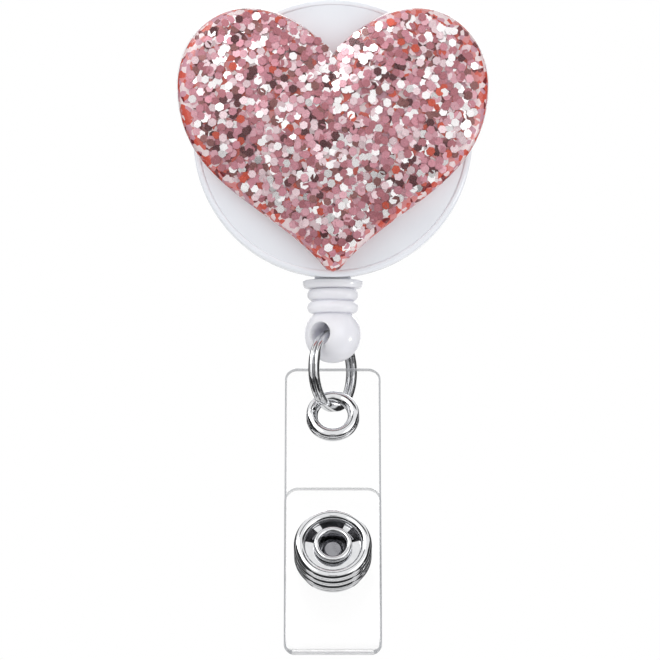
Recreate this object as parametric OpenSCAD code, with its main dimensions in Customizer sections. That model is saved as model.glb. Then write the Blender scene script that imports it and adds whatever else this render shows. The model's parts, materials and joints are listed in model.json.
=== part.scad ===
// Retractable badge reel with a glitter heart on its face, hanging from its clip.
// Millimetres. X is to the right, the face looks along -Y and Z is up.
// The origin is the bite of the spring clip at the back.

/* [Case] */
// Outside diameter of the front cover
case_d = 32; // [31:0.5:40]
// Thickness of the closed case
case_t = 8.4; // [8.4:0.1:12]
// Wall of both covers
case_wall = 1.3; // [1:0.1:1.4]
// Depth of the front cover
front_depth = 2.6; // [2:0.1:2.8]
// How far the rear cover stands inside the front cover's edge
rear_step = 0.5; // [0.4:0.1:0.8]
// Rounding of the front cover's edge
front_round = 0.7; // [0.3:0.1:1]
// Rounding of the rear cover's edge
rear_round = 1.8; // [0.6:0.1:2.2]
// Height of the rear cover's lip inside the front cover
lip_h = 1; // [0.6:0.1:1.1]
// Gap between parts that are pressed or glued together
seat_gap = 0.05; // [0.02:0.01:0.1]

/* [Heart] */
// Width of the heart
heart_w = 35.7; // [30:0.1:44]
// Height of the heart from its lobes to its tip
heart_h = 30.4; // [28:0.1:36]
// Depth of the notch between the lobes
heart_notch = 5.4; // [4:0.1:7]
// Height of the lobes' tops above the reel's axis
heart_top = 14.7; // [12:0.1:18]
// Thickness of the plate under the dome
heart_back_t = 1; // [0.6:0.1:2]
// How far the plate stands inside the dome's outline
heart_back_inset = 0.3; // [0.1:0.1:1]
// Upright side of the dome
dome_side = 0.8; // [0.4:0.1:2]
// Rounding of the dome's edge
dome_round = 1.2; // [0.6:0.1:2]
// Rise of the dome above its rounded edge
dome_crown = 1.2; // [0.4:0.1:3]
// Diameter of the glue pad
glue_d = 16; // [10:0.5:18]
// Thickness of the glue pad
glue_t = 0.5; // [0.2:0.1:1]

/* [Spool] */
// Diameter of the fixed post
post_d = 4.4; // [4:0.1:5]
// How far the post's tip enters the front cover
post_seat = 0.5; // [0.3:0.1:0.6]
// Running clearance of the spool on the post, on the radius
spool_fit = 0.08; // [0.03:0.01:0.1]
// Gap at each end of the spool
spool_play = 0.25; // [0.1:0.05:0.4]
// Diameter of the spool's hub
hub_d = 8; // [7:0.5:10]
// Diameter of the spool's flanges
flange_d = 25.4; // [23:0.2:26]
// Thickness of each flange
flange_t = 0.6; // [0.4:0.1:0.7]
// Diameter of the drum
drum_d = 16.8; // [15:0.2:18]
// Wall of the drum
drum_wall = 0.9; // [0.6:0.1:1.2]
// Width of the groove for the cord
groove_w = 2.8; // [2.4:0.1:2.9]
// Thickness of the power spring's strip
strip_t = 0.2; // [0.1:0.05:0.3]
// Turns of the power spring
strip_turns = 8; // [5:1:10]
// Room around the power spring's strip
strip_gap = 0.1; // [0.05:0.05:0.2]

/* [Cord] */
// Diameter of the cord
cord_d = 0.7; // [0.5:0.05:0.8]
// Diameter over the wound cord
wound_d = 20.6; // [19.6:0.2:21]
// Gap between turns in the outer layer
lay_gap = 0.45; // [0.42:0.01:0.6]
// Gap between the wound cord and the cord that leaves it
lead_gap = 0.15; // [0.1:0.05:0.3]
// Diameter of the outlet hole
outlet_d = 1.9; // [1.6:0.1:2.2]
// Diameter of the boss around the outlet
boss_d = 4.2; // [3.6:0.1:4.3]

/* [Cord end fitting] */
// Gap between the outlet's boss and the collar
collar_gap = 0.1; // [0.05:0.05:0.3]
// Diameter of the collar
collar_d = 7; // [6:0.1:7.4]
// Height of the collar
collar_h = 0.9; // [0.6:0.1:1.5]
// Diameter of the ribs
rib_d = 5.9; // [5:0.1:6.5]
// Height of each rib
rib_h = 1.45; // [1:0.05:1.8]
// Number of ribs
rib_count = 2; // [1:1:4]
// Diameter of the neck over the ball
neck_d = 4.3; // [3.8:0.1:4.6]
// Diameter of the ball
ball_d = 6.5; // [6.2:0.1:7]
// Diameter of the cross hole in the ball
eye_d = 2.5; // [2.4:0.1:2.8]
// Widening of the cross hole at its mouths, on the radius
eye_flare = 0.5; // [0.4:0.1:0.6]
// Depth of the widened mouths
flare_depth = 1.05; // [0.8:0.05:1.2]
// Turn of the cross hole away from the viewing direction
eye_turn = 30; // [0:1:60]
// Diameter of the knot
knot_d = 1.9; // [1.6:0.1:2]
// Gap around the knot and the cord in the fitting
knot_gap = 0.1; // [0.05:0.05:0.2]

/* [Split ring] */
// Outside diameter of the ring
ring_d = 9.5; // [9:0.1:11]
// Thickness of the wire across the ring
wire_t = 0.8; // [0.6:0.05:0.9]
// Width of each turn of wire along the ring's axis
wire_w = 0.6; // [0.4:0.05:0.65]
// Gap between the two turns
turn_gap = 0.06; // [0.03:0.01:0.1]
// Angle over which the wire crosses from one turn to the other
cross_angle = 36; // [24:2:60]
// Gap between the ring and what it hangs from
ring_gap = 0.08; // [0.05:0.01:0.15]

/* [Strap] */
// Width of the strap
strap_w = 11; // [9:0.1:14]
// Thickness of the vinyl
strap_t = 0.5; // [0.3:0.05:0.7]
// Length from the top edge to the fold
strap_len = 36.7; // [34:0.1:60]
// Distance from the top edge to the eyelet's centre
strap_top = 6.1; // [5:0.1:6.2]
// Length of the flap from the fold
flap_len = 20.3; // [18:0.1:24]
// Gap between the two leaves
leaf_gap = 1.5; // [1.4:0.1:2]
// Corner rounding of the long leaf
leaf_corner = 1.4; // [0.5:0.1:3]
// Corner rounding of the flap
flap_corner = 1.6; // [0.5:0.1:3]
// Gap at the line where the flap bends away from the fold
bend_gap = 0.1; // [0.05:0.01:0.15]
// Lean of the strap towards the viewer
strap_lean = 24; // [0:1:35]
// Play between the eyelet and the ring it hangs on
hang_gap = 0.2; // [0.15:0.01:0.3]

/* [Eyelet] */
// Diameter of the eyelet's hole
eyelet_hole_d = 3.4; // [3.2:0.1:4]
// Outside diameter of the eyelet
eyelet_d = 6.1; // [5.8:0.1:7]
// Radius of the rolled edge inside the hole
eyelet_roll = 0.7; // [0.6:0.05:0.8]

/* [Press stud] */
// Height of the stud's centre above the fold
snap_up = 11.4; // [10:0.1:13]
// Diameter over the socket
snap_d = 8.8; // [8:0.1:10]
// Radius of the socket's rolled rim
rim_roll = 0.65; // [0.5:0.05:0.7]
// Radius of the bead under the rim
mid_roll = 0.6; // [0.4:0.05:0.7]
// Radius of the bead on the flap
base_roll = 0.6; // [0.4:0.05:0.7]
// Thickness of the pressed sheet metal
sheet_t = 0.3; // [0.2:0.05:0.4]
// Diameter of the hole the stud enters
bore_d = 3; // [2.8:0.1:3.2]
// Height of the collar at the mouth of that hole above the socket's floor
mouth_h = 0.9; // [0.6:0.1:1.2]
// Radius of the rolled mouth of that hole
mouth_roll = 0.35; // [0.25:0.05:0.4]
// Width of the flange behind the flap
post_flange = 2.5; // [2:0.1:2.6]
// Diameter of the spring wire in the socket
snap_wire_d = 0.35; // [0.25:0.05:0.4]
// Angle that each spring wire spans
snap_wire_span = 130; // [100:5:150]
// Diameter of the stud's head
stud_head_d = 2.5; // [2.3:0.1:2.6]
// Diameter of the stud's neck
stud_neck_d = 1.9; // [1.6:0.1:2]
// Diameter of the stud's flange and of its post's head
stud_flange_d = 5.6; // [5:0.1:8]
// Diameter of the post through the stud
stud_post_d = 1.1; // [0.8:0.1:1.2]

/* [Swivel] */
// Diameter of the rivet's shank
rivet_d = 2.4; // [2:0.1:2.6]
// Diameter of the rivet's head
rivet_head_d = 5.2; // [4.4:0.1:6]
// Thickness of the rivet's head
rivet_head_t = 0.9; // [0.6:0.1:1]
// How far the shank reaches into the rear cover
rivet_reach = 2.4; // [1.8:0.1:2.6]
// Running clearance of the clip on the rivet, on the radius
swivel_fit = 0.08; // [0.03:0.01:0.1]
// Diameter of the washer
washer_d = 9; // [7:0.5:11]
// Thickness of the washer
washer_t = 0.6; // [0.4:0.1:1]

/* [Clip] */
// Height of the reel's axis above the bite
bite_drop = 12; // [11:0.5:14]
// Width of the base jaw
clip_w = 11; // [10:0.5:14]
// Thickness of the clip's metal
clip_t = 0.8; // [0.6:0.1:1]
// Distance from the base jaw's plate to the bite
bite_rise = 1.6; // [1.4:0.1:2]
// Gap between the closed teeth
bite_gap = 0.06; // [0.04:0.01:0.1]
// Number of teeth on each jaw
tooth_count = 5; // [3:1:7]
// Depth of the teeth
tooth_depth = 0.8; // [0.4:0.1:1]
// Height of the hinge pin above the reel's axis
pin_up = 4.5; // [4:0.1:6]
// Distance of the hinge pin behind the bite
pin_back = 2.5; // [2.4:0.1:3]
// Diameter of the hinge pin
pin_d = 1.6; // [1.2:0.1:1.8]
// Diameter of the hinge pin's heads
pin_head_d = 2.6; // [2.2:0.1:3.2]
// Thickness of the hinge pin's heads
pin_head_t = 0.5; // [0.3:0.1:0.8]
// Running clearance of the lever on the pin, on the radius
pin_fit = 0.06; // [0.03:0.01:0.1]
// Radius of the ears around the pin
ear_r = 1.9; // [1.7:0.1:2]
// Gap beside the lever's ears
ear_gap = 0.12; // [0.08:0.02:0.2]
// Length of the base jaw's tail above the pin
base_tail = 9; // [8:0.5:12]
// Height of the lever's tail above the pin
lever_tail = 11; // [10:0.5:14]
// How far the lever's tail stands behind the pin
lever_lift = 7; // [6.5:0.1:9]
// Height of the lever's knee above the pin
knee_up = 2; // [1.6:0.1:2.4]
// Depth of the lever's heel below the pin
heel_down = 1.5; // [1.2:0.1:1.8]
// Diameter of the torsion spring's wire
coil_wire_d = 0.7; // [0.5:0.05:0.8]
// Mean diameter of the torsion spring
coil_d = 3.5; // [3.2:0.1:3.8]
// Gap between the torsion spring's turns
coil_gap = 0.5; // [0.45:0.01:0.6]
// Turns of the torsion spring
coil_turns = 3.5; // [2.5:1:3.5]
// Length of the torsion spring's legs
coil_leg = 7; // [5:0.1:8]

/* [Hidden] */
$fn = 64;

// Colours of the finishes
white_plastic = [0.93, 0.93, 0.95];
coral_plastic = [0.88, 0.38, 0.32];
rose_glitter = [0.80, 0.52, 0.50];
clear_vinyl = [0.90, 0.91, 0.93, 0.5];
bright_metal = [0.78, 0.79, 0.81];
spring_steel = [0.50, 0.50, 0.52];
white_cord = [0.96, 0.96, 0.94];
clear_glue = [0.95, 0.93, 0.85];

// Extra length of a cut past the faces it opens
cut = 1;

// Depths in front of the bite, towards the viewer
plate_front = bite_rise + clip_t;
case_back = plate_front + washer_t;
case_front = case_back + case_t;
part_line = case_front - front_depth;
heart_plane = case_front + glue_t;
dome_plane = heart_plane + heart_back_t;

// Radii of the covers, measured from the reel's axis
case_r = case_d / 2;
rear_r = case_r - rear_step;
rear_in_r = rear_r - case_wall;
front_in_r = case_r - case_wall;

// Depths along the spool
spool_back = case_back + case_wall + spool_play;
groove_back = spool_back + flange_t;
groove_front = groove_back + groove_w;
web_front = groove_front + flange_t;
hub_front = case_front - case_wall - spool_play;
cord_depth = (groove_back + groove_front) / 2;
cup_r = drum_d / 2 - drum_wall;
post_r = post_d / 2;
post_tip = case_front - case_wall + post_seat;

// Heights below the reel's axis along the cord
boss_end = -case_r;
bend_z = -rear_in_r - cord_d / 2;
run_end = -rear_r;
collar_top = boss_end - collar_gap;
collar_end = collar_top - collar_h;
ribs_end = collar_end - rib_count * rib_h;
ball_r = ball_d / 2;
ball_z = ribs_end - sqrt(ball_r * ball_r - neck_d * neck_d / 4);
eye_r = eye_d / 2;

// The split ring hangs from the lower lips of the cross hole, whose mouths widen up to the ball's round face
flare_share = 6 / 7;
ring_r = ring_d / 2;
ring_in_r = ring_r - wire_t;
lip_in = ball_r - flare_depth;
lip_out = lip_in + flare_depth * flare_share;
rest_in = sqrt(ring_in_r * ring_in_r - lip_in * lip_in) + eye_r;
rest_out = sqrt(ring_in_r * ring_in_r - lip_out * lip_out) + eye_r + eye_flare;
ring_z = ball_z - min(rest_in, rest_out) + ring_gap;
knot_z = ring_z + ring_r + knot_gap + knot_d / 2;
tail_end = knot_z - knot_d / 4;

// The strap hangs on the ring by its eyelet and leans about the eyelet's rolled edge
pivot_z = ring_z - ring_in_r + hang_gap + eyelet_roll;
eyelet_up = -eyelet_hole_d / 2 - eyelet_roll;
leaf_top = eyelet_up + strap_top;
strap_end = leaf_top - strap_len;
fold_r = leaf_gap / 2 + strap_t;
fold_up = strap_end + fold_r;
bend_up = fold_up + strap_t / 2 + bend_gap;
flap_top = strap_end + flap_len;
snap_at = strap_end + snap_up;
eyelet_seat_r = eyelet_hole_d / 2 + eyelet_roll;

// Heights on the strap above the long leaf's back
flap_back = strap_t + leaf_gap;
flap_front = flap_back + strap_t;
base_bead = flap_front + base_roll;
mid_bead = base_bead + base_roll + mid_roll;
socket_floor = mid_bead + mid_roll;
rim_bead = socket_floor + rim_roll;
bore_r = bore_d / 2;
tube_r = bore_r + sheet_t;
mouth_top = socket_floor + mouth_h;
stud_head = flap_front + stud_head_d / 2;
recess_r = snap_d / 2 - 2 * rim_roll;

// The clip, with heights above the bite and distances behind it
pin_z = bite_drop + pin_up;
plate_back = -bite_rise;
plate_mid = plate_back - clip_t / 2;
lever_w = clip_w - 2 * clip_t - 2 * ear_gap;
coil_r = coil_d / 2;
lever_stand = pin_back + coil_r + coil_wire_d / 2 + clip_t + ear_gap;
lever_knee = [lever_stand, pin_z + knee_up];
lever_end = [pin_back + lever_lift, pin_z + lever_tail];
lever_heel = [lever_stand, pin_z - heel_down];
jaw_corner = [bite_rise + clip_t / 2, 0];

// Shape of the heart, drawn from the top of its lobes
heart_half = heart_w / 2;
lobe_x = 9.7;
wide_z = 8.95;
notch_pull = [1.8, 2.6];
lobe_in = 3.7;
lobe_out = 4.9;
wide_up = 4.7;
wide_down = 11.6;
tip_pull = [6.2, 7.7];
tip_half = 0.7;
tip_rise = 0.2;
heart_middle = 13;
curve_steps = 10;
edge_steps = 3;
crown_steps = 3;
crown_cap = 0.5;

// Steps of a bend, and how far a bend in the clip's metal reaches to each side of its corner
bend_steps = 4;
metal_bend = 0.9;

function unit(v) = v / norm(v);

// A point on a cubic curve from a to d with the handles b and c
function on_curve(a, b, c, d, t) =
  pow(1 - t, 3) * a + 3 * pow(1 - t, 2) * t * b + 3 * (1 - t) * t * t * c + pow(t, 3) * d;

function curve(a, b, c, d) = [for (i = [0:curve_steps - 1]) on_curve(a, b, c, d, i / curve_steps)];

// Right half of the heart from its notch to its tip
function half_heart() =
  let(
    notch = [0, -heart_notch],
    lobe = [lobe_x, 0],
    wide = [heart_half, -wide_z],
    tip = [tip_half, tip_rise - heart_h])
  concat(
    curve(notch, notch + notch_pull, lobe - [lobe_in, 0], lobe),
    curve(lobe, lobe + [lobe_out, 0], wide + [0, wide_up], wide),
    curve(wide, wide - [0, wide_down], tip + tip_pull, tip),
    [tip, [0, -heart_h]]);

// The whole outline about the middle of the heart, clockwise from the notch
function heart_outline() =
  let(right = half_heart(), n = len(right))
  [for (i = [0:2 * n - 3])
    let(p = i < n ? right[i] : right[2 * n - 2 - i])
    [i < n ? p[0] : -p[0], p[1] + heart_middle]];

// A route of points in a plane with each of its corners drawn as a short curve
function rounded(points, reach) =
  let(n = len(points))
  concat(
    [points[0]],
    [for (i = [1:n - 2])
      let(
        p = points[i],
        from = p + reach * unit(points[i - 1] - p),
        to = p + reach * unit(points[i + 1] - p))
      for (k = [0:bend_steps]) on_curve(from, p, p, to, k / bend_steps)],
    [points[n - 1]]);

// One side of a strip along a route, at a distance to the left of it
function strip_side(route, aside) =
  let(n = len(route))
  [for (i = [0:n - 1])
    let(
      before = unit(route[max(i, 1)] - route[max(i, 1) - 1]),
      after = unit(route[min(i, n - 2) + 1] - route[min(i, n - 2)]),
      across = unit(before + after))
    route[i] + aside / (before * across) * [-across[1], across[0]]];

// Section of a round tube
function round_section(d, sides) =
  [for (k = [0:sides - 1]) d / 2 * [cos(360 * k / sides), sin(360 * k / sides)]];

// Section of flat wire with bevelled edges
wire_bevel = 0.3;
function flat_section(t, w) =
  let(bevel = wire_bevel * w, x = t / 2, y = w / 2)
  [[x, y - bevel], [x - bevel, y], [bevel - x, y], [-x, y - bevel],
    [-x, bevel - y], [bevel - x, -y], [x - bevel, -y], [x, bevel - y]];

// Least gap between stretches of one tube that are at least skip points apart
function least_gap(path, d, skip) =
  min([for (i = [0:len(path) - 1]) for (j = [i + skip:1:len(path) - 1]) norm(path[i] - path[j])]) - d;

// A tube along a path, whose section keeps its second direction near the spine
module tube(path, section, spine) {
  n = len(path);
  m = len(section);
  points = [for (i = [0:n - 1])
    let(
      along = unit(path[min(i + 1, n - 1)] - path[max(i - 1, 0)]),
      side = unit(cross(spine, along)),
      up = cross(along, side))
    for (s = section) path[i] + side * s[0] + up * s[1]];
  walls = [for (i = [0:n - 2]) for (k = [0:m - 1])
    let(a = i * m + k, b = i * m + (k + 1) % m)
    for (face = [[a, b + m, b], [a, a + m, b + m]]) face];
  caps = [for (k = [1:m - 2])
    for (face = [[0, k, k + 1], [(n - 1) * m, (n - 1) * m + k + 1, (n - 1) * m + k]]) face];
  polyhedron(points, concat(walls, caps));
}

// Places a shape on the reel's axis, with its own Z pointing at the viewer from the bite
module on_reel() {
  translate([0, 0, bite_drop]) rotate([90, 0, 0]) children();
}

// Places a shape on the cord's line, with Z measured from the reel's axis
module on_cord() {
  translate([0, -cord_depth, bite_drop]) children();
}

// Places a shape on the strap, at a height along it, with its own Z pointing out of the long leaf
module on_strap(up) {
  on_cord() translate([0, 0, pivot_z]) rotate([-strap_lean, 0, 0])
    translate([0, strap_t / 2, up]) rotate([90, 0, 0]) children();
}

// A flat ring from one height to another
module washer(r_out, r_in, from, to) {
  translate([0, 0, from]) difference() {
    cylinder(r = r_out, h = to - from);
    translate([0, 0, -cut]) cylinder(r = r_in, h = to - from + 2 * cut);
  }
}

// A bent strip of metal along points in the YZ plane, centred on X
module bent_strip(points, t, w) {
  route = rounded(points, metal_bend);
  n = len(route);
  left = strip_side(route, t / 2);
  right = strip_side(route, -t / 2);
  translate([-w / 2, 0, 0]) rotate([90, 0, 90]) linear_extrude(w)
    polygon(concat(left, [for (i = [n - 1:-1:0]) right[i]]));
}

// A pair of ears around the pin's line, from a plate at one distance behind the bite
module ears(plate_y, half_w, hole_r) {
  for (side = [-1, 1])
    translate([side * (half_w - clip_t / 2) - clip_t / 2, 0, 0]) rotate([90, 0, 90])
      linear_extrude(clip_t) difference() {
        union() {
          translate([pin_back, pin_z]) circle(ear_r);
          translate([min(plate_y, pin_back), pin_z - ear_r]) square([abs(plate_y - pin_back), 2 * ear_r]);
        }
        translate([pin_back, pin_z]) circle(hole_r);
      }
}

// Notches between the teeth of a jaw of a given width
module tooth_cuts(w) {
  pitch = w / tooth_count;
  for (i = [0:tooth_count])
    translate([i * pitch - w / 2, 0, 0]) rotate([0, 0, 45])
      cube([tooth_depth, tooth_depth, 4 * clip_t], center = true);
}

module clip_base_jaw() {
  color(bright_metal) difference() {
    union() {
      bent_strip([[-bite_gap / 2, 0], [plate_mid, 0], [plate_mid, pin_z + base_tail]], clip_t, clip_w);
      ears(plate_mid, clip_w / 2, pin_d / 2 + seat_gap);
    }
    tooth_cuts(clip_w);
    on_reel() cylinder(r = rivet_d / 2 + swivel_fit, h = case_back);
  }
}

module clip_lever_jaw() {
  color(bright_metal) difference() {
    union() {
      bent_strip([[bite_gap / 2, 0], jaw_corner, lever_heel, lever_knee, lever_end], clip_t, lever_w);
      ears(lever_stand, lever_w / 2, pin_d / 2 + pin_fit);
    }
    tooth_cuts(lever_w);
  }
}

module clip_hinge_pin() {
  color(bright_metal) translate([0, pin_back, pin_z]) rotate([0, 90, 0]) {
    cylinder(d = pin_d, h = clip_w, center = true);
    for (side = [0, 180])
      rotate([side, 0, 0]) translate([0, 0, clip_w / 2]) cylinder(d = pin_head_d, h = pin_head_t);
  }
}

// Route of the torsion spring: one leg on the base jaw, the coil round the pin, one leg on the lever
coil_pitch = coil_wire_d + coil_gap;
coil_rings = 8;
leg_z = pin_z + coil_leg;
leg_rise = (lever_end[0] - lever_knee[0]) / (lever_end[1] - lever_knee[1]);
leg_clear = (coil_wire_d / 2 + clip_t / 2) * sqrt(1 + leg_rise * leg_rise) + seat_gap;
lever_leg_y = lever_knee[0] + (leg_z - lever_knee[1]) * leg_rise - leg_clear;
base_leg_y = plate_back + coil_wire_d / 2 + seat_gap;
coil_start = -coil_turns * coil_pitch / 2;
coil_path = concat(
  [[coil_start, base_leg_y, leg_z]],
  [for (i = [0:coil_turns * coil_rings])
    let(turn = i / coil_rings)
    [coil_start + turn * coil_pitch,
      pin_back + coil_r * cos(180 + 360 * turn),
      pin_z + coil_r * sin(180 + 360 * turn)]],
  [[-coil_start, pin_back + coil_r, lever_knee[1]], [-coil_start, lever_leg_y, leg_z]]);
echo(clip_torsion_spring_least_gap = least_gap(coil_path, coil_wire_d, coil_rings / 2 + 1));

module clip_torsion_spring() {
  color(spring_steel) tube(coil_path, round_section(coil_wire_d, 6), [1, 0, 0]);
}

module swivel_rivet() {
  head_back = bite_rise - rivet_head_t;
  dome = rivet_head_t / 2;
  color(bright_metal) on_reel() {
    translate([0, 0, head_back]) rotate_extrude() {
      square([rivet_head_d / 2 - dome, rivet_head_t]);
      translate([0, dome]) square([rivet_head_d / 2, rivet_head_t - dome]);
      translate([rivet_head_d / 2 - dome, dome]) intersection() {
        circle(dome);
        translate([0, -dome]) square(dome);
      }
    }
    translate([0, 0, bite_rise]) cylinder(d = rivet_d, h = case_back - bite_rise + rivet_reach);
  }
}

module swivel_washer() {
  color(bright_metal) on_reel() washer(washer_d / 2, rivet_d / 2 + swivel_fit, plate_front, case_back);
}

module rear_cover() {
  color(white_plastic) difference() {
    union() {
      on_reel() rotate_extrude() difference() {
        union() {
          translate([0, case_back]) square([rear_r - rear_round, part_line - case_back]);
          translate([0, case_back + rear_round]) square([rear_r, part_line - case_back - rear_round]);
          translate([rear_r - rear_round, case_back + rear_round]) circle(rear_round);
          translate([0, part_line]) square([front_in_r - seat_gap, lip_h]);
        }
        translate([post_r, case_back + case_wall]) square([rear_in_r - post_r, case_t]);
        translate([0, post_tip]) square([post_r, case_t]);
      }
      on_reel() cylinder(r = post_r, h = post_tip);
      on_cord() translate([0, 0, boss_end]) cylinder(d = boss_d, h = case_r - rear_r + case_wall / 2);
    }
    on_reel() cylinder(d = rivet_d + 2 * seat_gap, h = case_back + rivet_reach + seat_gap);
    on_reel() cylinder(r = rear_r, h = case_back);
    on_reel() translate([0, -strip_t / 2 - strip_gap, case_back + rivet_reach + strip_gap])
      cube([post_d, strip_t + 2 * strip_gap, case_t]);
    on_cord() translate([0, 0, boss_end - cut]) cylinder(d = outlet_d, h = case_r - rear_in_r + 2 * cut);
  }
}

module front_cover() {
  skirt = front_depth - case_wall;
  color(white_plastic) on_reel() rotate_extrude() difference() {
    union() {
      translate([0, part_line]) square([case_r - front_round, front_depth]);
      translate([0, part_line]) square([case_r, front_depth - front_round]);
      translate([case_r - front_round, case_front - front_round]) circle(front_round);
    }
    translate([0, part_line - cut]) square([front_in_r, skirt + cut]);
    translate([0, part_line]) square([post_r + seat_gap, skirt + post_seat + seat_gap]);
  }
}

module spool() {
  inner = post_r + spool_fit;
  color(white_plastic) on_reel() rotate_extrude() {
    translate([cup_r, spool_back]) square([drum_wall, web_front - spool_back]);
    translate([cup_r, spool_back]) square([flange_d / 2 - cup_r, flange_t]);
    translate([inner, groove_front]) square([flange_d / 2 - inner, flange_t]);
    translate([inner, groove_front]) square([hub_d / 2 - inner, hub_front - groove_front]);
  }
}

strip_rings = 16;

module power_spring() {
  inner = post_r + 2 * strip_gap;
  outer = cup_r - strip_t - strip_gap / 2;
  steps = strip_turns * strip_rings;
  reach = [for (i = [0:steps]) inner + (outer - inner) * i / steps];
  turn = [for (i = [0:steps]) 360 * strip_turns * i / steps];
  inside = [for (i = [0:steps]) reach[i] * [cos(turn[i]), sin(turn[i])]];
  outside = [for (i = [steps:-1:0]) (reach[i] + strip_t) * [cos(turn[i]), sin(turn[i])]];
  tab_back = case_back + rivet_reach + 2 * strip_gap;
  strip_front = groove_front - strip_gap;
  color(spring_steel) on_reel() {
    translate([0, 0, spool_back + strip_gap]) linear_extrude(strip_front - spool_back - strip_gap)
      polygon(concat(inside, outside));
    translate([post_r / 2, -strip_t / 2, tab_back])
      cube([inner + strip_t / 2 - post_r / 2, strip_t, strip_front - tab_back]);
  }
}

// Route of the cord's outer layer on the drum, with straight ends
lay_r = wound_d / 2 - cord_d / 2;
lay_pitch = cord_d + lay_gap;
lay_rings = 24;
lay_turns = (groove_w - cord_d - 2 * seat_gap) / lay_pitch;
lay_steps = floor(lay_turns * lay_rings);
lay_path = [for (i = [-1:lay_steps + 1])
  let(
    held = min(max(i, 0), lay_steps),
    angle = 360 * held / lay_rings,
    past = (i - held) * cord_d)
  [lay_r * cos(angle) - past * sin(angle),
    lay_r * sin(angle) + past * cos(angle),
    groove_back + seat_gap + cord_d / 2 + held / lay_rings * lay_pitch]];
echo(cord_winding_least_gap = least_gap(lay_path, cord_d, lay_rings / 2));

module cord_winding() {
  core_r = lay_r - cord_d / 2 + seat_gap;
  color(white_cord) on_reel() {
    washer(core_r, drum_d / 2 + seat_gap, groove_back + seat_gap, groove_front - seat_gap);
    tube(lay_path, round_section(cord_d, 6), [0, 0, 1]);
  }
}

// Route of the cord from the winding, round the inside of the outlet and down through it
lead_r = wound_d / 2 + lead_gap + cord_d / 2;
lead_angle = acos(lead_r / -bend_z);
lead_start = lead_r * [sin(lead_angle), 0, -cos(lead_angle)];
bend = [0, 0, bend_z];
bend_reach = 1;
bend_in = bend + bend_reach * unit(lead_start - bend);
bend_out = [0, 0, (bend_z + run_end) / 2];
run_path = concat(
  [lead_start],
  [for (i = [0:bend_steps]) on_curve(bend_in, bend, bend, bend_out, i / bend_steps)],
  [[0, 0, run_end]]);

module cord_run() {
  color(white_cord) on_cord() tube(run_path, round_section(cord_d, 8), [0, 1, 0]);
}

module cord_tail() {
  color(white_cord) on_cord() translate([0, 0, tail_end]) cylinder(d = cord_d, h = run_end - tail_end);
}

module cord_knot() {
  color(white_cord) on_cord() difference() {
    translate([0, 0, knot_z]) sphere(d = knot_d);
    translate([0, 0, tail_end - seat_gap]) cylinder(d = cord_d + 2 * seat_gap, h = knot_d);
  }
}

module glue_pad() {
  color(clear_glue) on_reel() washer(glue_d / 2, 0, case_front, heart_plane);
}

module heart_back() {
  shrink = 1 - heart_back_inset / heart_half;
  color(coral_plastic) on_reel() translate([0, heart_top - heart_middle, heart_plane])
    linear_extrude(heart_back_t) polygon(shrink * heart_outline());
}

// The dome is built of copies of the outline, drawn in and raised from its edge to its crown
module heart_dome() {
  outline = heart_outline();
  m = len(outline);
  edge = [for (i = [0:edge_steps])
    let(a = 90 * i / edge_steps)
    [1 - dome_round * (1 - cos(a)) / heart_half, dome_side + dome_round * sin(a)]];
  flat = 1 - dome_round / heart_half;
  crown = [for (i = [1:crown_steps])
    let(s = flat * (1 - i / (crown_steps + crown_cap)))
    [s, dome_side + dome_round + dome_crown * (1 - pow(s / flat, 2))]];
  rings = concat([[1, 0]], edge, crown);
  n = len(rings);
  points = concat(
    [for (r = rings) for (p = outline) [r[0] * p[0], r[0] * p[1], r[1]]],
    [[0, 0, 0], [0, 0, dome_side + dome_round + dome_crown]]);
  walls = [for (i = [0:n - 2]) for (k = [0:m - 1])
    let(a = i * m + k, b = i * m + (k + 1) % m)
    for (face = [[a, b, b + m], [a, b + m, a + m]]) face];
  caps = [for (k = [0:m - 1])
    let(next = (k + 1) % m)
    for (face = [[n * m, next, k], [n * m + 1, (n - 1) * m + k, (n - 1) * m + next]]) face];
  color(rose_glitter) on_reel() translate([0, heart_top - heart_middle, dome_plane])
    polyhedron(points, concat(walls, caps));
}

module cord_end_fitting() {
  ribs = [for (i = [0:rib_count - 1]) collar_end - (i + 0.5) * rib_h];
  chamber_top = knot_z + knot_d / 2 + knot_gap;
  color(white_plastic) on_cord() difference() {
    union() {
      rotate_extrude() {
        translate([0, collar_end]) square([collar_d / 2 - collar_h / 2, collar_h]);
        translate([collar_d / 2 - collar_h / 2, collar_end + collar_h / 2]) circle(collar_h / 2);
        for (z = ribs) {
          translate([rib_d / 2 - rib_h / 2, z]) intersection() {
            circle(rib_h / 2);
            translate([0, -rib_h]) square(2 * rib_h);
          }
          translate([0, z - rib_h / 2]) square([rib_d / 2 - rib_h / 2, rib_h]);
        }
        translate([0, ball_z]) square([neck_d / 2, collar_end - ball_z]);
      }
      translate([0, 0, ball_z]) sphere(ball_r);
    }
    translate([0, 0, ball_z]) cylinder(d = cord_d + 2 * knot_gap, h = collar_top - ball_z + cut);
    translate([0, 0, ball_z]) cylinder(d = knot_d + 2 * knot_gap, h = chamber_top - ball_z);
    translate([0, 0, ball_z]) rotate([0, 0, -eye_turn]) rotate([90, 0, 0]) {
      cylinder(r = eye_r, h = ball_d + 2 * cut, center = true);
      for (side = [0, 180])
        rotate([side, 0, 0]) translate([0, 0, lip_in])
          cylinder(r1 = eye_r, r2 = eye_r + eye_flare / flare_share, h = flare_depth);
    }
  }
}

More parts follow.
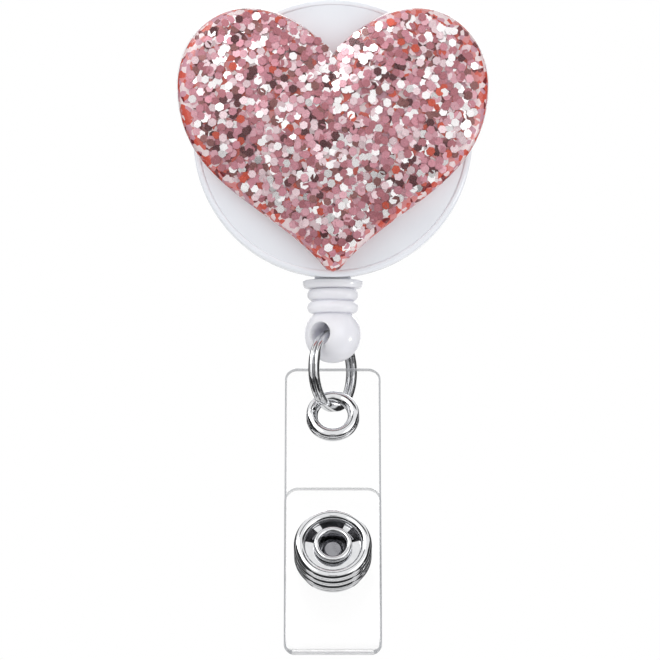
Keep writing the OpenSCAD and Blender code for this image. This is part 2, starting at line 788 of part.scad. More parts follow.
// Route of the ring's wire: one turn, a crossing to the side, and a second turn
ring_rings = 40;
ring_path = [for (i = [0:2 * ring_rings])
  let(
    angle = cross_angle / 2 + (720 - cross_angle) * i / (2 * ring_rings),
    mixed = min(max((angle - 360) / cross_angle + 0.5, 0), 1),
    aside = (mixed * mixed * (3 - 2 * mixed) - 0.5) * (wire_w + turn_gap),
    mean = ring_r - wire_t / 2)
  [mean * cos(angle), aside, mean * sin(angle)]];

module split_ring() {
  color(bright_metal) on_cord() translate([0, 0, ring_z]) rotate([0, 0, 90 - eye_turn])
    tube(ring_path, flat_section(wire_t, wire_w), [0, 1, 0]);
}

// A leaf of the strap between two heights, with its upper corners rounded
module leaf(from, to, corner) {
  half = strap_w / 2;
  translate([-half, from]) square([strap_w, to - from - corner]);
  translate([-half + corner, from]) square([strap_w - 2 * corner, to - from]);
  for (side = [-1, 1])
    translate([side * (half - corner), to - corner]) circle(corner);
}

module strap_rear_leaf() {
  color(clear_vinyl) on_strap(0) linear_extrude(strap_t) difference() {
    leaf(fold_up, leaf_top, leaf_corner);
    translate([0, eyelet_up]) circle(eyelet_seat_r + seat_gap);
    translate([0, snap_at]) circle(d = stud_post_d + 2 * seat_gap);
  }
}

module strap_fold() {
  color(clear_vinyl) on_strap(fold_up) translate([-strap_w / 2, 0, fold_r]) rotate([0, 90, 0])
    linear_extrude(strap_w) difference() {
      circle(fold_r);
      circle(leaf_gap / 2);
      translate([-fold_r, 0]) square(2 * fold_r);
    }
}

module strap_front_flap() {
  color(clear_vinyl) {
    on_strap(0) translate([0, 0, flap_back]) linear_extrude(strap_t) difference() {
      leaf(bend_up, flap_top, flap_corner);
      translate([0, snap_at]) circle(tube_r + seat_gap);
    }
    on_strap(bend_up) translate([-strap_w / 2, 0, flap_back + strap_t / 2]) rotate([0, 90, 0])
      cylinder(d = strap_t, h = strap_w);
  }
}

// The eyelet's barrel bulges into the hole, and its front edge is rolled over the strap
module strap_eyelet() {
  middle = strap_t / 2;
  flange_h = middle + eyelet_roll - strap_t;
  reach = eyelet_d / 2 - flange_h / 2;
  color(bright_metal) on_strap(eyelet_up) rotate_extrude() {
    translate([eyelet_seat_r, middle]) intersection() {
      circle(eyelet_roll);
      translate([-2 * eyelet_roll, -eyelet_roll]) square(2 * eyelet_roll);
    }
    translate([eyelet_seat_r - flange_h, strap_t]) square([reach - eyelet_seat_r + flange_h, flange_h]);
    translate([reach, strap_t + flange_h / 2]) circle(flange_h / 2);
  }
}

module strap_eyelet_washer() {
  depth = eyelet_roll - strap_t / 2;
  inner = eyelet_seat_r + seat_gap;
  reach = eyelet_d / 2 - depth / 2;
  color(bright_metal) on_strap(eyelet_up) rotate_extrude() {
    translate([inner, -depth]) square([reach - inner, depth]);
    translate([reach, -depth / 2]) circle(depth / 2);
  }
}

module snap_stud() {
  color(bright_metal) on_strap(snap_at) difference() {
    union() {
      translate([0, 0, strap_t]) cylinder(d = stud_flange_d, h = sheet_t);
      translate([0, 0, strap_t]) cylinder(d = stud_neck_d, h = stud_head - strap_t);
      translate([0, 0, stud_head]) sphere(d = stud_head_d);
    }
    cylinder(d = stud_post_d + 2 * seat_gap, h = stud_head + stud_head_d);
  }
}

module snap_stud_post() {
  head_t = 2 * sheet_t;
  color(bright_metal) on_strap(snap_at) {
    rotate_extrude() {
      translate([0, -head_t]) square([stud_flange_d / 2 - head_t / 2, head_t]);
      translate([stud_flange_d / 2 - head_t / 2, -head_t / 2]) circle(head_t / 2);
    }
    cylinder(d = stud_post_d, h = stud_head);
  }
}

module snap_socket_base() {
  inner = tube_r + seat_gap;
  wall_r = snap_d / 2 - mid_roll - sheet_t;
  color(bright_metal) on_strap(snap_at) rotate_extrude() {
    translate([inner, flap_front]) square([snap_d / 2 - base_roll - inner, sheet_t]);
    translate([snap_d / 2 - base_roll, base_bead]) circle(base_roll);
    translate([wall_r, flap_front]) square([sheet_t, socket_floor - flap_front]);
    translate([snap_d / 2 - mid_roll, mid_bead]) circle(mid_roll);
  }
}

module snap_socket_rim() {
  inner = tube_r + seat_gap;
  color(bright_metal) on_strap(snap_at) rotate_extrude() {
    translate([snap_d / 2 - rim_roll, rim_bead]) circle(rim_roll);
    translate([inner, socket_floor]) square([snap_d / 2 - rim_roll - inner, sheet_t]);
  }
}

module snap_socket_spring() {
  wire_r = (recess_r + tube_r + mouth_roll - sheet_t / 2) / 2;
  wire_up = socket_floor + sheet_t + seat_gap + snap_wire_d / 2;
  color(spring_steel) on_strap(snap_at)
    for (side = [0, 180])
      rotate([0, 0, side + 90 - snap_wire_span / 2]) rotate_extrude(angle = snap_wire_span)
        translate([wire_r, wire_up]) circle(d = snap_wire_d, $fn = 24);
}

module snap_socket_post() {
  color(bright_metal) on_strap(snap_at) rotate_extrude() {
    translate([bore_r, flap_back - sheet_t]) square([post_flange, sheet_t]);
    translate([bore_r, flap_back - sheet_t]) square([sheet_t, mouth_top - flap_back + sheet_t]);
    translate([bore_r + mouth_roll, mouth_top]) circle(mouth_roll);
  }
}

clip_base_jaw();
clip_lever_jaw();
clip_hinge_pin();
clip_torsion_spring();
swivel_rivet();
swivel_washer();
rear_cover();
front_cover();
spool();
power_spring();
cord_winding();
cord_run();
cord_tail();
cord_knot();
glue_pad();
heart_back();
heart_dome();
cord_end_fitting();
split_ring();
strap_rear_leaf();
strap_fold();
strap_front_flap();
strap_eyelet();
strap_eyelet_washer();
snap_stud();
snap_stud_post();
snap_socket_base();
snap_socket_rim();
snap_socket_spring();
snap_socket_post();
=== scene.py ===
"""Looks of a retractable badge reel with a glitter heart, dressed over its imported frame."""

import json
import logging
import math
from dataclasses import dataclass
from enum import Enum
from typing import Any, Sequence, Union

import bmesh
import bpy
from mathutils import Matrix, Vector


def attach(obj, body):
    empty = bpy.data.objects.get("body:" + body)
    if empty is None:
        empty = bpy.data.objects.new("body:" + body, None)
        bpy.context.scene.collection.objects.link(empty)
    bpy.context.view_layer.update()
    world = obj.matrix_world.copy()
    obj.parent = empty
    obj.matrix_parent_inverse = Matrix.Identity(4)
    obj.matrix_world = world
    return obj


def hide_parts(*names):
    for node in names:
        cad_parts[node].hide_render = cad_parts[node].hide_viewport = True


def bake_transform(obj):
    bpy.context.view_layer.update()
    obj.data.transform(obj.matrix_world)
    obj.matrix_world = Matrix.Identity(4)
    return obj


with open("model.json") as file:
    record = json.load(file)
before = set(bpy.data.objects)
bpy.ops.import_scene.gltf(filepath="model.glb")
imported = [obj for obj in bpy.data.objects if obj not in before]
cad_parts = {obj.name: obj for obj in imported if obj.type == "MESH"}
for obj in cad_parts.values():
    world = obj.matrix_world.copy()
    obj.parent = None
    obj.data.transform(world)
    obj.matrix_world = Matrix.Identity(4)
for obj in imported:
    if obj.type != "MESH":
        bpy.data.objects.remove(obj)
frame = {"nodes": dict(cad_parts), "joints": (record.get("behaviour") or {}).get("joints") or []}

Flat = tuple[float, float]
Point = tuple[float, float, float]
Stops = Sequence[tuple[float, Point]]
Faces = list[list[int]]
Shell = tuple[Sequence[Sequence[float]], Faces]
Inputs = dict[Union[int, str], Any]
Socket = bpy.types.NodeSocket
Value = Union[Socket, float]
Tree = bpy.types.NodeTree
Piece = bpy.types.Object

LOG = logging.getLogger("badge_reel")
MM = 0.001
ONES: Point = (1.0, 1.0, 1.0)
SQUARE = ((-1, -1), (1, -1), (1, 1), (-1, 1))

# Steps round a turned piece, the cutter of a hole and a small hidden piece.
ROUND = 96
CUTTER_ROUND = 64
SMALL_ROUND = 48

# Angles in degrees above which an edge stays sharp on plain, rounded and domed pieces, or is bevelled.
SHARP = 35.0
ROUNDED_SHARP = 50.0
DOME_SHARP = 60.0
BEVEL_SHARP = 40.0

# Lengths in metres below which points are merged, slivers are dropped and a solid's corners are welded.
MERGE_M = 1e-7
SLIVER_M = 1e-8
WELD_M = 1e-6

# Values between which most of a noise lies, and the depth in millimetres of a skin's fine relief.
NOISE_SPAN: Flat = (0.3, 0.7)
SKIN_MM = 0.01


class Body(Enum):
    """The bodies of the frame that pieces ride on."""

    CLIP = "base"
    LEVER = "lever"
    REEL = "reel"
    DRUM = "drum"
    CORD = "cord"
    FITTING = "fitting"
    RING = "ring"
    STRAP = "strap"
    FLAP = "flap"


class Slot(Enum):
    """The record's material slots."""

    WHITE = "white_plastic"
    SPOOL = "spool_plastic"
    GLITTER = "glitter_resin"
    CORAL = "coral_plastic"
    GLUE = "glue"
    VINYL = "clear_vinyl"
    CHROME = "chrome_metal"
    CLIP = "clip_metal"
    SPRING = "spring_steel"
    CORD = "cord"


class Graph:
    """A node tree that is being wired."""

    def __init__(self, tree: Tree) -> None:
        """Keep the tree that nodes are added to."""
        self.tree = tree

    def add(self, kind: str, inputs: Inputs | None = None, **settings: Any) -> bpy.types.Node:
        """Add a node.

        Args:
            kind: The node's type.
            inputs: Values or output sockets for its inputs, by name or number.
            **settings: The node's own properties.

        Returns:
            The new node.
        """
        node = self.tree.nodes.new(kind)
        for name, value in settings.items():
            setattr(node, name, value)
        for key, value in (inputs or {}).items():
            if isinstance(value, Socket):
                self.tree.links.new(value, node.inputs[key])
            else:
                node.inputs[key].default_value = value
        return node

    def out(self, kind: str, inputs: Inputs | None = None, output: int | str = 0, **settings: Any) -> Socket:
        """Add a node and return one of its outputs, the first unless another is asked for."""
        return self.add(kind, inputs, **settings).outputs[output]

    def place(self, stretch: Point = ONES) -> Socket:
        """Return the object's own coordinates, drawn out along each axis."""
        here = self.out("ShaderNodeTexCoord", output="Object")
        return self.out("ShaderNodeMapping", {"Vector": here, "Scale": tuple(1.0 / s for s in stretch)})

    def noise(self, grain_mm: float, detail: float = 3.0, stretch: Point = ONES) -> Socket:
        """Return noise from 0 to 1, with its grain in millimetres drawn out along each axis."""
        inputs = {"Vector": self.place(stretch), "Scale": 1.0 / (grain_mm * MM), "Detail": detail}
        return self.out("ShaderNodeTexNoise", inputs)

    def span(self, value: Socket, low: float, high: float, start: float = NOISE_SPAN[0],
             end: float = NOISE_SPAN[1]) -> Socket:
        """Return a value that goes from low to high while the given one goes from start to end."""
        inputs = {"Value": value, "From Min": start, "From Max": end, "To Min": low, "To Max": high}
        return self.out("ShaderNodeMapRange", inputs)

    def ramp(self, value: Socket, stops: Stops, steps: bool = False) -> Socket:
        """Turn a value into a colour.

        Args:
            value: The value from 0 to 1.
            stops: Places and colours along the ramp.
            steps: Whether colours change at once at each stop.

        Returns:
            The colour as a socket.
        """
        node = self.add("ShaderNodeValToRGB", {"Fac": value})
        node.color_ramp.interpolation = "CONSTANT" if steps else "LINEAR"
        elements = node.color_ramp.elements
        while len(elements) < len(stops):
            elements.new(1.0)
        for element, (place, colour) in zip(elements, stops):
            element.position = place
            element.color = (*colour, 1.0)
        return node.outputs["Color"]

    def tint(self, value: Socket, dark: Point, light: Point) -> Socket:
        """Return a colour that goes from dark to light with some noise."""
        return self.ramp(value, list(zip(NOISE_SPAN, (dark, light))))

    def bump(self, height: Socket, strength: float, depth_mm: float = SKIN_MM) -> Socket:
        """Return the normal of a surface with a relief of the given depth."""
        inputs = {"Height": height, "Strength": strength, "Distance": depth_mm * MM}
        return self.out("ShaderNodeBump", inputs)

    def attribute(self, name: str) -> Socket:
        """Return an attribute of the piece."""
        return self.out("ShaderNodeAttribute", output="Fac", attribute_name=name)

    def larger(self, first: Socket, second: Socket) -> Socket:
        """Return the larger of two values."""
        return self.out("ShaderNodeMath", {0: first, 1: second}, operation="MAXIMUM")

    def chance(self, low: Value, high: Value, seed: int) -> Socket:
        """Return a random number between two values."""
        return self.out("FunctionNodeRandomValue", {2: low, 3: high, "Seed": seed}, 1, data_type="FLOAT")

    def principled(self, inputs: Inputs) -> Socket:
        """Return a surface shader."""
        return self.out("ShaderNodeBsdfPrincipled", inputs)


@dataclass(frozen=True)
class Finish:
    """A surface finish, whose material is made on first use."""

    name: str

    def material(self) -> bpy.types.Material:
        """Find or make the finish's material.

        Returns:
            The material.
        """
        found = bpy.data.materials.get(self.name)
        if found is not None:
            return found
        made = bpy.data.materials.new(self.name)
        made.use_nodes = True
        made.node_tree.nodes.clear()
        graph = Graph(made.node_tree)
        graph.add("ShaderNodeOutputMaterial", {"Surface": self.shade(graph)})
        return made

    def shade(self, graph: Graph) -> Socket:
        """Wire the finish and return its shader."""
        raise NotImplementedError


@dataclass(frozen=True)
class MouldedPlastic(Finish):
    """Smooth moulded plastic with a faint cloudiness and an almost flat skin, which may be milky."""

    light: Point
    dark: Point
    gloss: Flat
    cloud_mm: float = 6.0
    skin_mm: float = 0.35
    relief: float = 0.06
    milk: float = 0.0
    milk_mm: float = 1.0

    def shade(self, graph: Graph) -> Socket:
        """Wire cloudy colour, uneven gloss and a fine skin.

        Args:
            graph: The material's tree.

        Returns:
            The shader.
        """
        skin = graph.noise(self.skin_mm)
        return graph.principled({
            "Base Color": graph.tint(graph.noise(self.cloud_mm), self.dark, self.light),
            "Roughness": graph.span(skin, *self.gloss),
            "Normal": graph.bump(skin, self.relief),
            "Subsurface Weight": self.milk,
            "Subsurface Radius": ONES,
            "Subsurface Scale": self.milk_mm * MM,
        })


@dataclass(frozen=True)
class PlatedMetal(Finish):
    """Plated metal, polished or drawn out along one axis."""

    light: Point
    dark: Point
    gloss: Flat
    grain_mm: float = 0.5
    stretch: Point = ONES
    relief: float = 0.03
    detail: float = 4.0

    def shade(self, graph: Graph) -> Socket:
        """Wire metal whose tint, gloss and skin follow one grain.

        Args:
            graph: The material's tree.

        Returns:
            The shader.
        """
        grain = graph.noise(self.grain_mm, self.detail, self.stretch)
        return graph.principled({
            "Base Color": graph.tint(grain, self.dark, self.light),
            "Metallic": 1.0,
            "Roughness": graph.span(grain, *self.gloss),
            "Normal": graph.bump(grain, self.relief),
        })


@dataclass(frozen=True)
class ClearPlastic(Finish):
    """Clear plastic with a wavy gloss, with painted grey shade where the rim attribute says so."""

    ior: float = 1.4
    glint_share: float = 0.35
    gloss: Flat = (0.06, 0.14)
    wave_mm: float = 3.0
    relief: float = 0.15
    relief_mm: float = 0.05
    detail: float = 2.0
    # Colour and share of the painted grey shade on a clear sheet's rim.
    painted_rim_colour: Point = (0.46, 0.47, 0.49)
    painted_rim_share: float = 0.7

    def shade(self, graph: Graph) -> Socket:
        """Wire a see-through body, its gloss and its rim of painted grey shade.

        Args:
            graph: The material's tree.

        Returns:
            The shader.
        """
        waves = graph.noise(self.wave_mm, self.detail)
        skin = graph.bump(waves, self.relief, self.relief_mm)
        rim = graph.attribute("rim")
        surface = graph.principled({
            "Base Color": graph.ramp(rim, [(0.0, ONES), (1.0, self.painted_rim_colour)]),
            "Metallic": graph.span(rim, 1.0, 0.0, 0.0, 1.0),
            "Roughness": graph.span(waves, *self.gloss),
            "Normal": skin,
        })
        glint = graph.out("ShaderNodeFresnel", {"IOR": self.ior, "Normal": skin})
        faint = graph.span(glint, 0.0, self.glint_share, 0.0, 1.0)
        # Painted shade: the rim attribute turns the clear surface grey.
        painted_rim_shade = graph.span(rim, 0.0, self.painted_rim_share, 0.0, 1.0)
        clear = graph.out("ShaderNodeBsdfTransparent")
        return graph.out("ShaderNodeMixShader", {0: graph.larger(faint, painted_rim_shade), 1: clear, 2: surface})


@dataclass(frozen=True)
class GlitterFoil(Finish):
    """Foil flakes in several rose tones, chosen by each flake's tone attribute."""

    tones: Stops
    metal: Flat = (0.3, 0.9)
    metal_from: Flat = (0.74, 0.8)
    gloss: Flat = (0.2, 0.32)
    grain_mm: float = 0.6
    relief: float = 0.04

    def shade(self, graph: Graph) -> Socket:
        """Wire a shiny foil whose colour follows the flake's tone.

        Args:
            graph: The material's tree.

        Returns:
            The shader.
        """
        tone = graph.attribute("tone")
        grain = graph.noise(self.grain_mm)
        return graph.principled({
            "Base Color": graph.ramp(tone, self.tones, True),
            "Metallic": graph.span(tone, *self.metal, *self.metal_from),
            "Roughness": graph.span(grain, *self.gloss),
            "Normal": graph.bump(grain, self.relief),
        })


@dataclass(frozen=True)
class GlitterBed(Finish):
    """Tinted resin full of glitter that lies too deep to show as single flakes."""

    tones: Stops
    cell_mm: float = 0.6
    disorder: float = 0.9
    gloss: Flat = (0.18, 0.3)
    grain_mm: float = 0.8
    relief: float = 0.1
    relief_mm: float = 0.05

    def shade(self, graph: Graph) -> Socket:
        """Wire cells of several tones under a smooth skin.

        Args:
            graph: The material's tree.

        Returns:
            The shader.
        """
        cells = graph.add("ShaderNodeTexVoronoi", {
            "Vector": graph.place(), "Scale": 1.0 / (self.cell_mm * MM), "Randomness": self.disorder}).outputs
        pick = graph.out("ShaderNodeSeparateColor", {"Color": cells["Color"]}, "Red")
        return graph.principled({
            "Base Color": graph.ramp(pick, self.tones, True),
            "Roughness": graph.span(graph.noise(self.grain_mm), *self.gloss),
            "Normal": graph.bump(cells["Distance"], self.relief, self.relief_mm),
        })


@dataclass(frozen=True)
class PaleFloor(Finish):
    """A matt floor that looks white and still takes a shadow."""

    light: Point = (0.9, 0.9, 0.9)
    dark: Point = (0.88, 0.88, 0.88)
    gloss: Flat = (0.7, 0.9)
    grain_mm: float = 40.0
    lift: float = 0.42

    def shade(self, graph: Graph) -> Socket:
        """Wire a pale matt surface that is lifted to white where the camera sees it.

        Args:
            graph: The material's tree.

        Returns:
            The shader.
        """
        grain = graph.noise(self.grain_mm)
        matt = graph.principled({
            "Base Color": graph.tint(grain, self.dark, self.light),
            "Roughness": graph.span(grain, *self.gloss),
        })
        seen = graph.out("ShaderNodeLightPath", output="Is Camera Ray")
        glow = graph.out("ShaderNodeEmission", {"Strength": graph.span(seen, 0.0, self.lift, 0.0, 1.0)})
        return graph.out("ShaderNodeAddShader", {0: matt, 1: glow})


@dataclass(frozen=True)
class TwistedFibre(Finish):
    """White nylon cord of twisted strands."""

    light: Point = (0.88, 0.88, 0.85)
    dark: Point = (0.62, 0.62, 0.60)
    gloss: Flat = (0.5, 0.7)
    strands: float = 3.0
    fray: float = 0.4
    relief: float = 0.4
    relief_mm: float = 0.05

    def shade(self, graph: Graph) -> Socket:
        """Wire slanted strands on the cord's own map.

        Args:
            graph: The material's tree.

        Returns:
            The shader.
        """
        lay = (self.strands, self.strands * 2, 1.0)
        place = graph.out("ShaderNodeTexCoord", output="UV")
        place = graph.out("ShaderNodeMapping", {"Vector": place, "Scale": lay})
        twist = {"Vector": place, "Scale": 1.0, "Distortion": self.fray}
        strand = graph.out("ShaderNodeTexWave", twist, "Fac", bands_direction="DIAGONAL")
        # Painted shade: the darker lines between the strands stand for the shade in the grooves.
        return graph.principled({
            "Base Color": graph.ramp(strand, [(0.0, self.dark), (0.5, self.light)]),
            "Roughness": graph.span(strand, *self.gloss, 0.0, 1.0),
            "Normal": graph.bump(strand, self.relief, self.relief_mm),
        })


FINISHES: dict[Slot, Finish] = {
    Slot.WHITE: MouldedPlastic("white_moulding", (0.82, 0.84, 0.885), (0.79, 0.81, 0.86), (0.14, 0.24)),
    Slot.SPOOL: MouldedPlastic("spool_moulding", (0.82, 0.82, 0.80), (0.76, 0.76, 0.74), (0.4, 0.55)),
    Slot.CORAL: MouldedPlastic("coral_moulding", (0.73, 0.20, 0.17), (0.71, 0.14, 0.10), (0.2, 0.32), 2.5),
    Slot.GLUE: MouldedPlastic("adhesive", (0.86, 0.83, 0.72), (0.78, 0.74, 0.62), (0.3, 0.5), 1.5),
    Slot.CHROME: PlatedMetal("bright_plate", (0.80, 0.805, 0.82), (0.74, 0.745, 0.76), (0.05, 0.10)),
    Slot.CLIP: PlatedMetal("nickel_sheet", (0.74, 0.73, 0.71), (0.62, 0.61, 0.60), (0.2, 0.32), 0.12,
                           (1.0, 1.0, 14.0), 0.05),
    Slot.SPRING: PlatedMetal("spring_wire", (0.50, 0.50, 0.52), (0.34, 0.34, 0.36), (0.2, 0.34), 0.2,
                             (6.0, 1.0, 1.0), 0.1),
    Slot.VINYL: ClearPlastic("clear_vinyl_sheet"),
    Slot.CORD: TwistedFibre("nylon_strands"),
    Slot.GLITTER: ClearPlastic("poured_resin", 1.45, 0.8, (0.02, 0.06), 5.0, 0.1),
}
# A slightly greyer copy of the white plastic for the fitting: its darker tone is partly the fitting's own and
# partly painted shade on the ball.
MILKY_PLASTIC = MouldedPlastic("milky_moulding", (0.80, 0.80, 0.845), (0.77, 0.77, 0.81), (0.14, 0.24),
                               milk=0.8, milk_mm=1.6)
# The flap's painted grey rim shade is fainter.
FLAP_VINYL = ClearPlastic("clear_vinyl_flap", painted_rim_share=0.5)
# Painted shade: a darker copy of the plate for the socket's inside faces, its spring wires and the stud,
# which sit in shade.
PAINTED_SHADE_PLATE = PlatedMetal("painted_shade_plate", (0.34, 0.34, 0.36), (0.27, 0.27, 0.29), (0.25, 0.36), 0.8)
DARK_CARD = MouldedPlastic("dark_card", (0.012, 0.012, 0.014), (0.008, 0.008, 0.009), (0.8, 0.9))
FOIL = GlitterFoil("rose_foil", (
    (0.0, (0.11, 0.016, 0.022)),
    (0.06, (0.68, 0.09, 0.045)),
    (0.09, (0.30, 0.11, 0.105)),
    (0.16, (0.51, 0.175, 0.21)),
    (0.32, (0.69, 0.295, 0.36)),
    (0.49, (0.84, 0.46, 0.53)),
    (0.64, (0.94, 0.74, 0.78)),
    # White flakes, which also stand in for painted glints.
    (0.80, (1.0, 0.97, 0.975)),
))
DEEP_GLITTER = GlitterBed("deep_glitter", (
    (0.0, (0.22, 0.025, 0.03)),
    (0.11, (0.70, 0.11, 0.075)),
    (0.38, (0.78, 0.29, 0.29)),
    (0.57, (0.66, 0.34, 0.42)),
    (0.77, (0.95, 0.81, 0.82)),
))


def turn(degrees: float, axis: str) -> Matrix:
    """Return a turn about an axis."""
    return Matrix.Rotation(math.radians(degrees), 4, axis)


def joint_place(name: str) -> Vector:
    """Return where a joint of the frame sits, in millimetres."""
    return Vector(next(j for j in frame["joints"] if j["name"] == name)["pos_m"]) / MM


def arc(centre: Flat, radii: Flat, start: float, end: float, steps: int) -> list[Flat]:
    """Return points in even steps along an ellipse, from one angle in degrees to another."""
    angles = [math.radians(start + (end - start) * i / steps) for i in range(steps + 1)]
    return [(centre[0] + radii[0] * math.cos(a), centre[1] + radii[1] * math.sin(a)) for a in angles]


def wire_section(width: float, sides: int = 12) -> list[Flat]:
    """Return the round section of a wire."""
    return arc((0, 0), (width / 2, width / 2), 0, 360 - 360 / sides, sides - 1)


def bezier(corners: Sequence[Flat], steps: int) -> list[Flat]:
    """Draw a cubic curve, leaving its last point to the next curve.

    Args:
        corners: The first point, both handles and the last point.
        steps: Number of points.

    Returns:
        The points in order.
    """
    points = []
    for i in range(steps):
        t = i / steps
        shares = ((1 - t) ** 3, 3 * (1 - t) ** 2 * t, 3 * (1 - t) * t * t, t ** 3)
        points.append(tuple(sum(s * p[k] for s, p in zip(shares, corners)) for k in (0, 1)))
    return points


def skin(rings: int, m: int, whole: bool = False) -> Faces:
    """Return the faces between rings of m points, and from the last to the first if they go all round."""
    steps = [(i * m, (i + 1) % rings * m) for i in range(rings if whole else rings - 1)]
    return [[a + k, a + (k + 1) % m, b + (k + 1) % m, b + k] for a, b in steps for k in range(m)]


def lathe(profile: Sequence[Flat], turns: int = ROUND, start: float = 0.0, span: float = 360.0) -> Shell:
    """Turn a closed profile about its own Z axis.

    Args:
        profile: Distances from the axis and heights.
        turns: Number of steps round the axis.
        start: Angle of the first step in degrees.
        span: Angle that is turned in degrees.

    Returns:
        The points and the faces.
    """
    whole = span >= 360.0
    rings, m = turns if whole else turns + 1, len(profile)
    points = []
    for i in range(rings):
        a = math.radians(start + span * i / turns)
        points += [(r * math.cos(a), r * math.sin(a), h) for r, h in profile]
    faces = skin(rings, m, whole)
    if not whole:
        faces += [list(range(m)), list(reversed(range(turns * m, rings * m)))]
    return points, faces


def tube(path: Sequence[Vector], section: Sequence[Flat], spine: Point) -> Shell:
    """Sweep a section along a path.

    Args:
        path: Points of the path.
        section: The section, sideways and along the spine.
        spine: Direction that the section's height keeps near.

    Returns:
        The points and the faces, with both ends closed.
    """
    n, m = len(path), len(section)
    points = []
    for i, p in enumerate(path):
        along = (path[min(i + 1, n - 1)] - path[max(i - 1, 0)]).normalized()
        side = Vector(spine).cross(along).normalized()
        up = along.cross(side)
        points += [p + side * s[0] + up * s[1] for s in section]
    return points, skin(n, m) + [list(range(m)), list(range((n - 1) * m, n * m))]


def join(shells: Sequence[Shell]) -> Shell:
    """Put several shells into one.

    Args:
        shells: Their points and faces.

    Returns:
        All points and faces.
    """
    points, faces = [], []
    for more, sides in shells:
        faces += [[k + len(points) for k in side] for side in sides]
        points += more
    return points, faces


def finish_mesh(mesh: bpy.types.Mesh, crease: float) -> None:
    """Join, close and smooth a mesh.

    Args:
        mesh: The mesh.
        crease: Angle in degrees above which an edge stays sharp.
    """
    bm = bmesh.new()
    bm.from_mesh(mesh)
    bmesh.ops.remove_doubles(bm, verts=bm.verts, dist=MERGE_M)
    bmesh.ops.dissolve_degenerate(bm, dist=SLIVER_M, edges=bm.edges)
    bmesh.ops.recalc_face_normals(bm, faces=bm.faces)
    bm.to_mesh(mesh)
    bm.free()
    mesh.shade_smooth()
    mesh.set_sharp_from_angle(angle=math.radians(crease))


def link(name: str, data: Any) -> Piece:
    """Put a mesh, lamp or camera into the scene.

    Args:
        name: The object's name.
        data: What it shows.

    Returns:
        The object.
    """
    made = bpy.data.objects.new(name, data)
    bpy.context.scene.collection.objects.link(made)
    return made


def make_piece(name: str, shell: Shell, place: Matrix, crease: float = SHARP,
               painted_rims: Sequence[float] = ()) -> Piece:
    """Make a piece from points in millimetres.

    Args:
        name: The piece's name.
        shell: Its points and faces in its own place.
        place: Where that place is, in millimetres.
        crease: Angle in degrees above which an edge stays sharp.
        painted_rims: How much painted grey rim shade a clear piece has at each point, from 0 to 1.

    Returns:
        The piece, with its place in its mesh.
    """
    points, faces = shell
    mesh = bpy.data.meshes.new(name)
    mesh.from_pydata([(place @ Vector(p)) * MM for p in points], [], faces)
    # Painted shade: the rim attribute marks where a clear piece is painted grey.
    if painted_rims:
        mesh.attributes.new("rim", "FLOAT", "POINT").data.foreach_set("value", painted_rims)
    finish_mesh(mesh, crease)
    return link(name, mesh)


def turned(name: str, profile: Sequence[Flat], place: Matrix, turns: int = ROUND,
           crease: float = SHARP) -> Piece:
    """Return a piece turned from one closed profile of distances from its axis and heights."""
    return make_piece(name, lathe(profile, turns), place, crease)


def settle(piece: Piece) -> None:
    """Turn a piece's modifiers into its plain mesh.

    Args:
        piece: The piece.
    """
    graph = bpy.context.evaluated_depsgraph_get()
    shape = piece.evaluated_get(graph)
    mesh = bpy.data.meshes.new_from_object(shape, preserve_all_data_layers=True, depsgraph=graph)
    piece.modifiers.clear()
    piece.data = mesh


def cut_with(piece: Piece, cutter: Piece, crease: float) -> None:
    """Cut one shape out of a piece and delete the cutter.

    Args:
        piece: The piece to cut.
        cutter: The shape to remove.
        crease: Angle in degrees above which an edge stays sharp.
    """
    modifier = piece.modifiers.new("cut", "BOOLEAN")
    modifier.operation = "DIFFERENCE"
    modifier.solver = "EXACT"
    modifier.object = cutter
    settle(piece)
    bpy.data.objects.remove(cutter)
    finish_mesh(piece.data, crease)


def paint(piece: Piece, finish: Finish) -> None:
    """Give every face of a piece one finish."""
    piece.data.materials.clear()
    piece.data.materials.append(finish.material())


def dress(piece: Piece, body: Body, slot: Slot, *nodes: str, finish: Finish | None = None) -> Piece:
    """Give a piece its finish, its body and the nodes that it stands for.

    Args:
        piece: The piece.
        body: The body that it rides on.
        slot: The record's slot for it.
        *nodes: The frame's nodes that it stands for.
        finish: A finish other than the slot's own.

    Returns:
        The piece.
    """
    paint(piece, finish or FINISHES[slot])
    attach(piece, body.value)
    if nodes:
        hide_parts(*nodes)
    LOG.info("%s rides on %s", piece.name, body.value)
    return piece


def dress_between(piece: Piece, first: Body, second: Body, slot: Slot, node: str,
                  finish: Finish | None = None) -> None:
    """Give a piece that spans a joint its finish, set its place into its mesh and hide the node that it
    stands for.

    Args:
        piece: The piece.
        first: The body on one side of the joint, which is only named in the log.
        second: The body on the other side of the joint, which is only named in the log.
        slot: The record's slot for it.
        node: The frame's node that it stands for.
        finish: A finish other than the slot's own.
    """
    paint(piece, finish or FINISHES[slot])
    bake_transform(piece)
    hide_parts(node)
    LOG.info("%s bends between %s and %s", piece.name, first.value, second.value)


def geometry_graph(name: str, inputs: dict[str, str]) -> Graph:
    """Start a Geometry Nodes tree.

    Args:
        name: The tree's name.
        inputs: Kinds of its named inputs besides the geometry.

    Returns:
        The tree, ready to be wired.
    """
    tree = bpy.data.node_groups.new(name, "GeometryNodeTree")
    for label, kind in {"Geometry": "Geometry", **inputs}.items():
        tree.interface.new_socket(label, in_out="INPUT", socket_type="NodeSocket" + kind)
    tree.interface.new_socket("Geometry", in_out="OUTPUT", socket_type="NodeSocketGeometry")
    return Graph(tree)


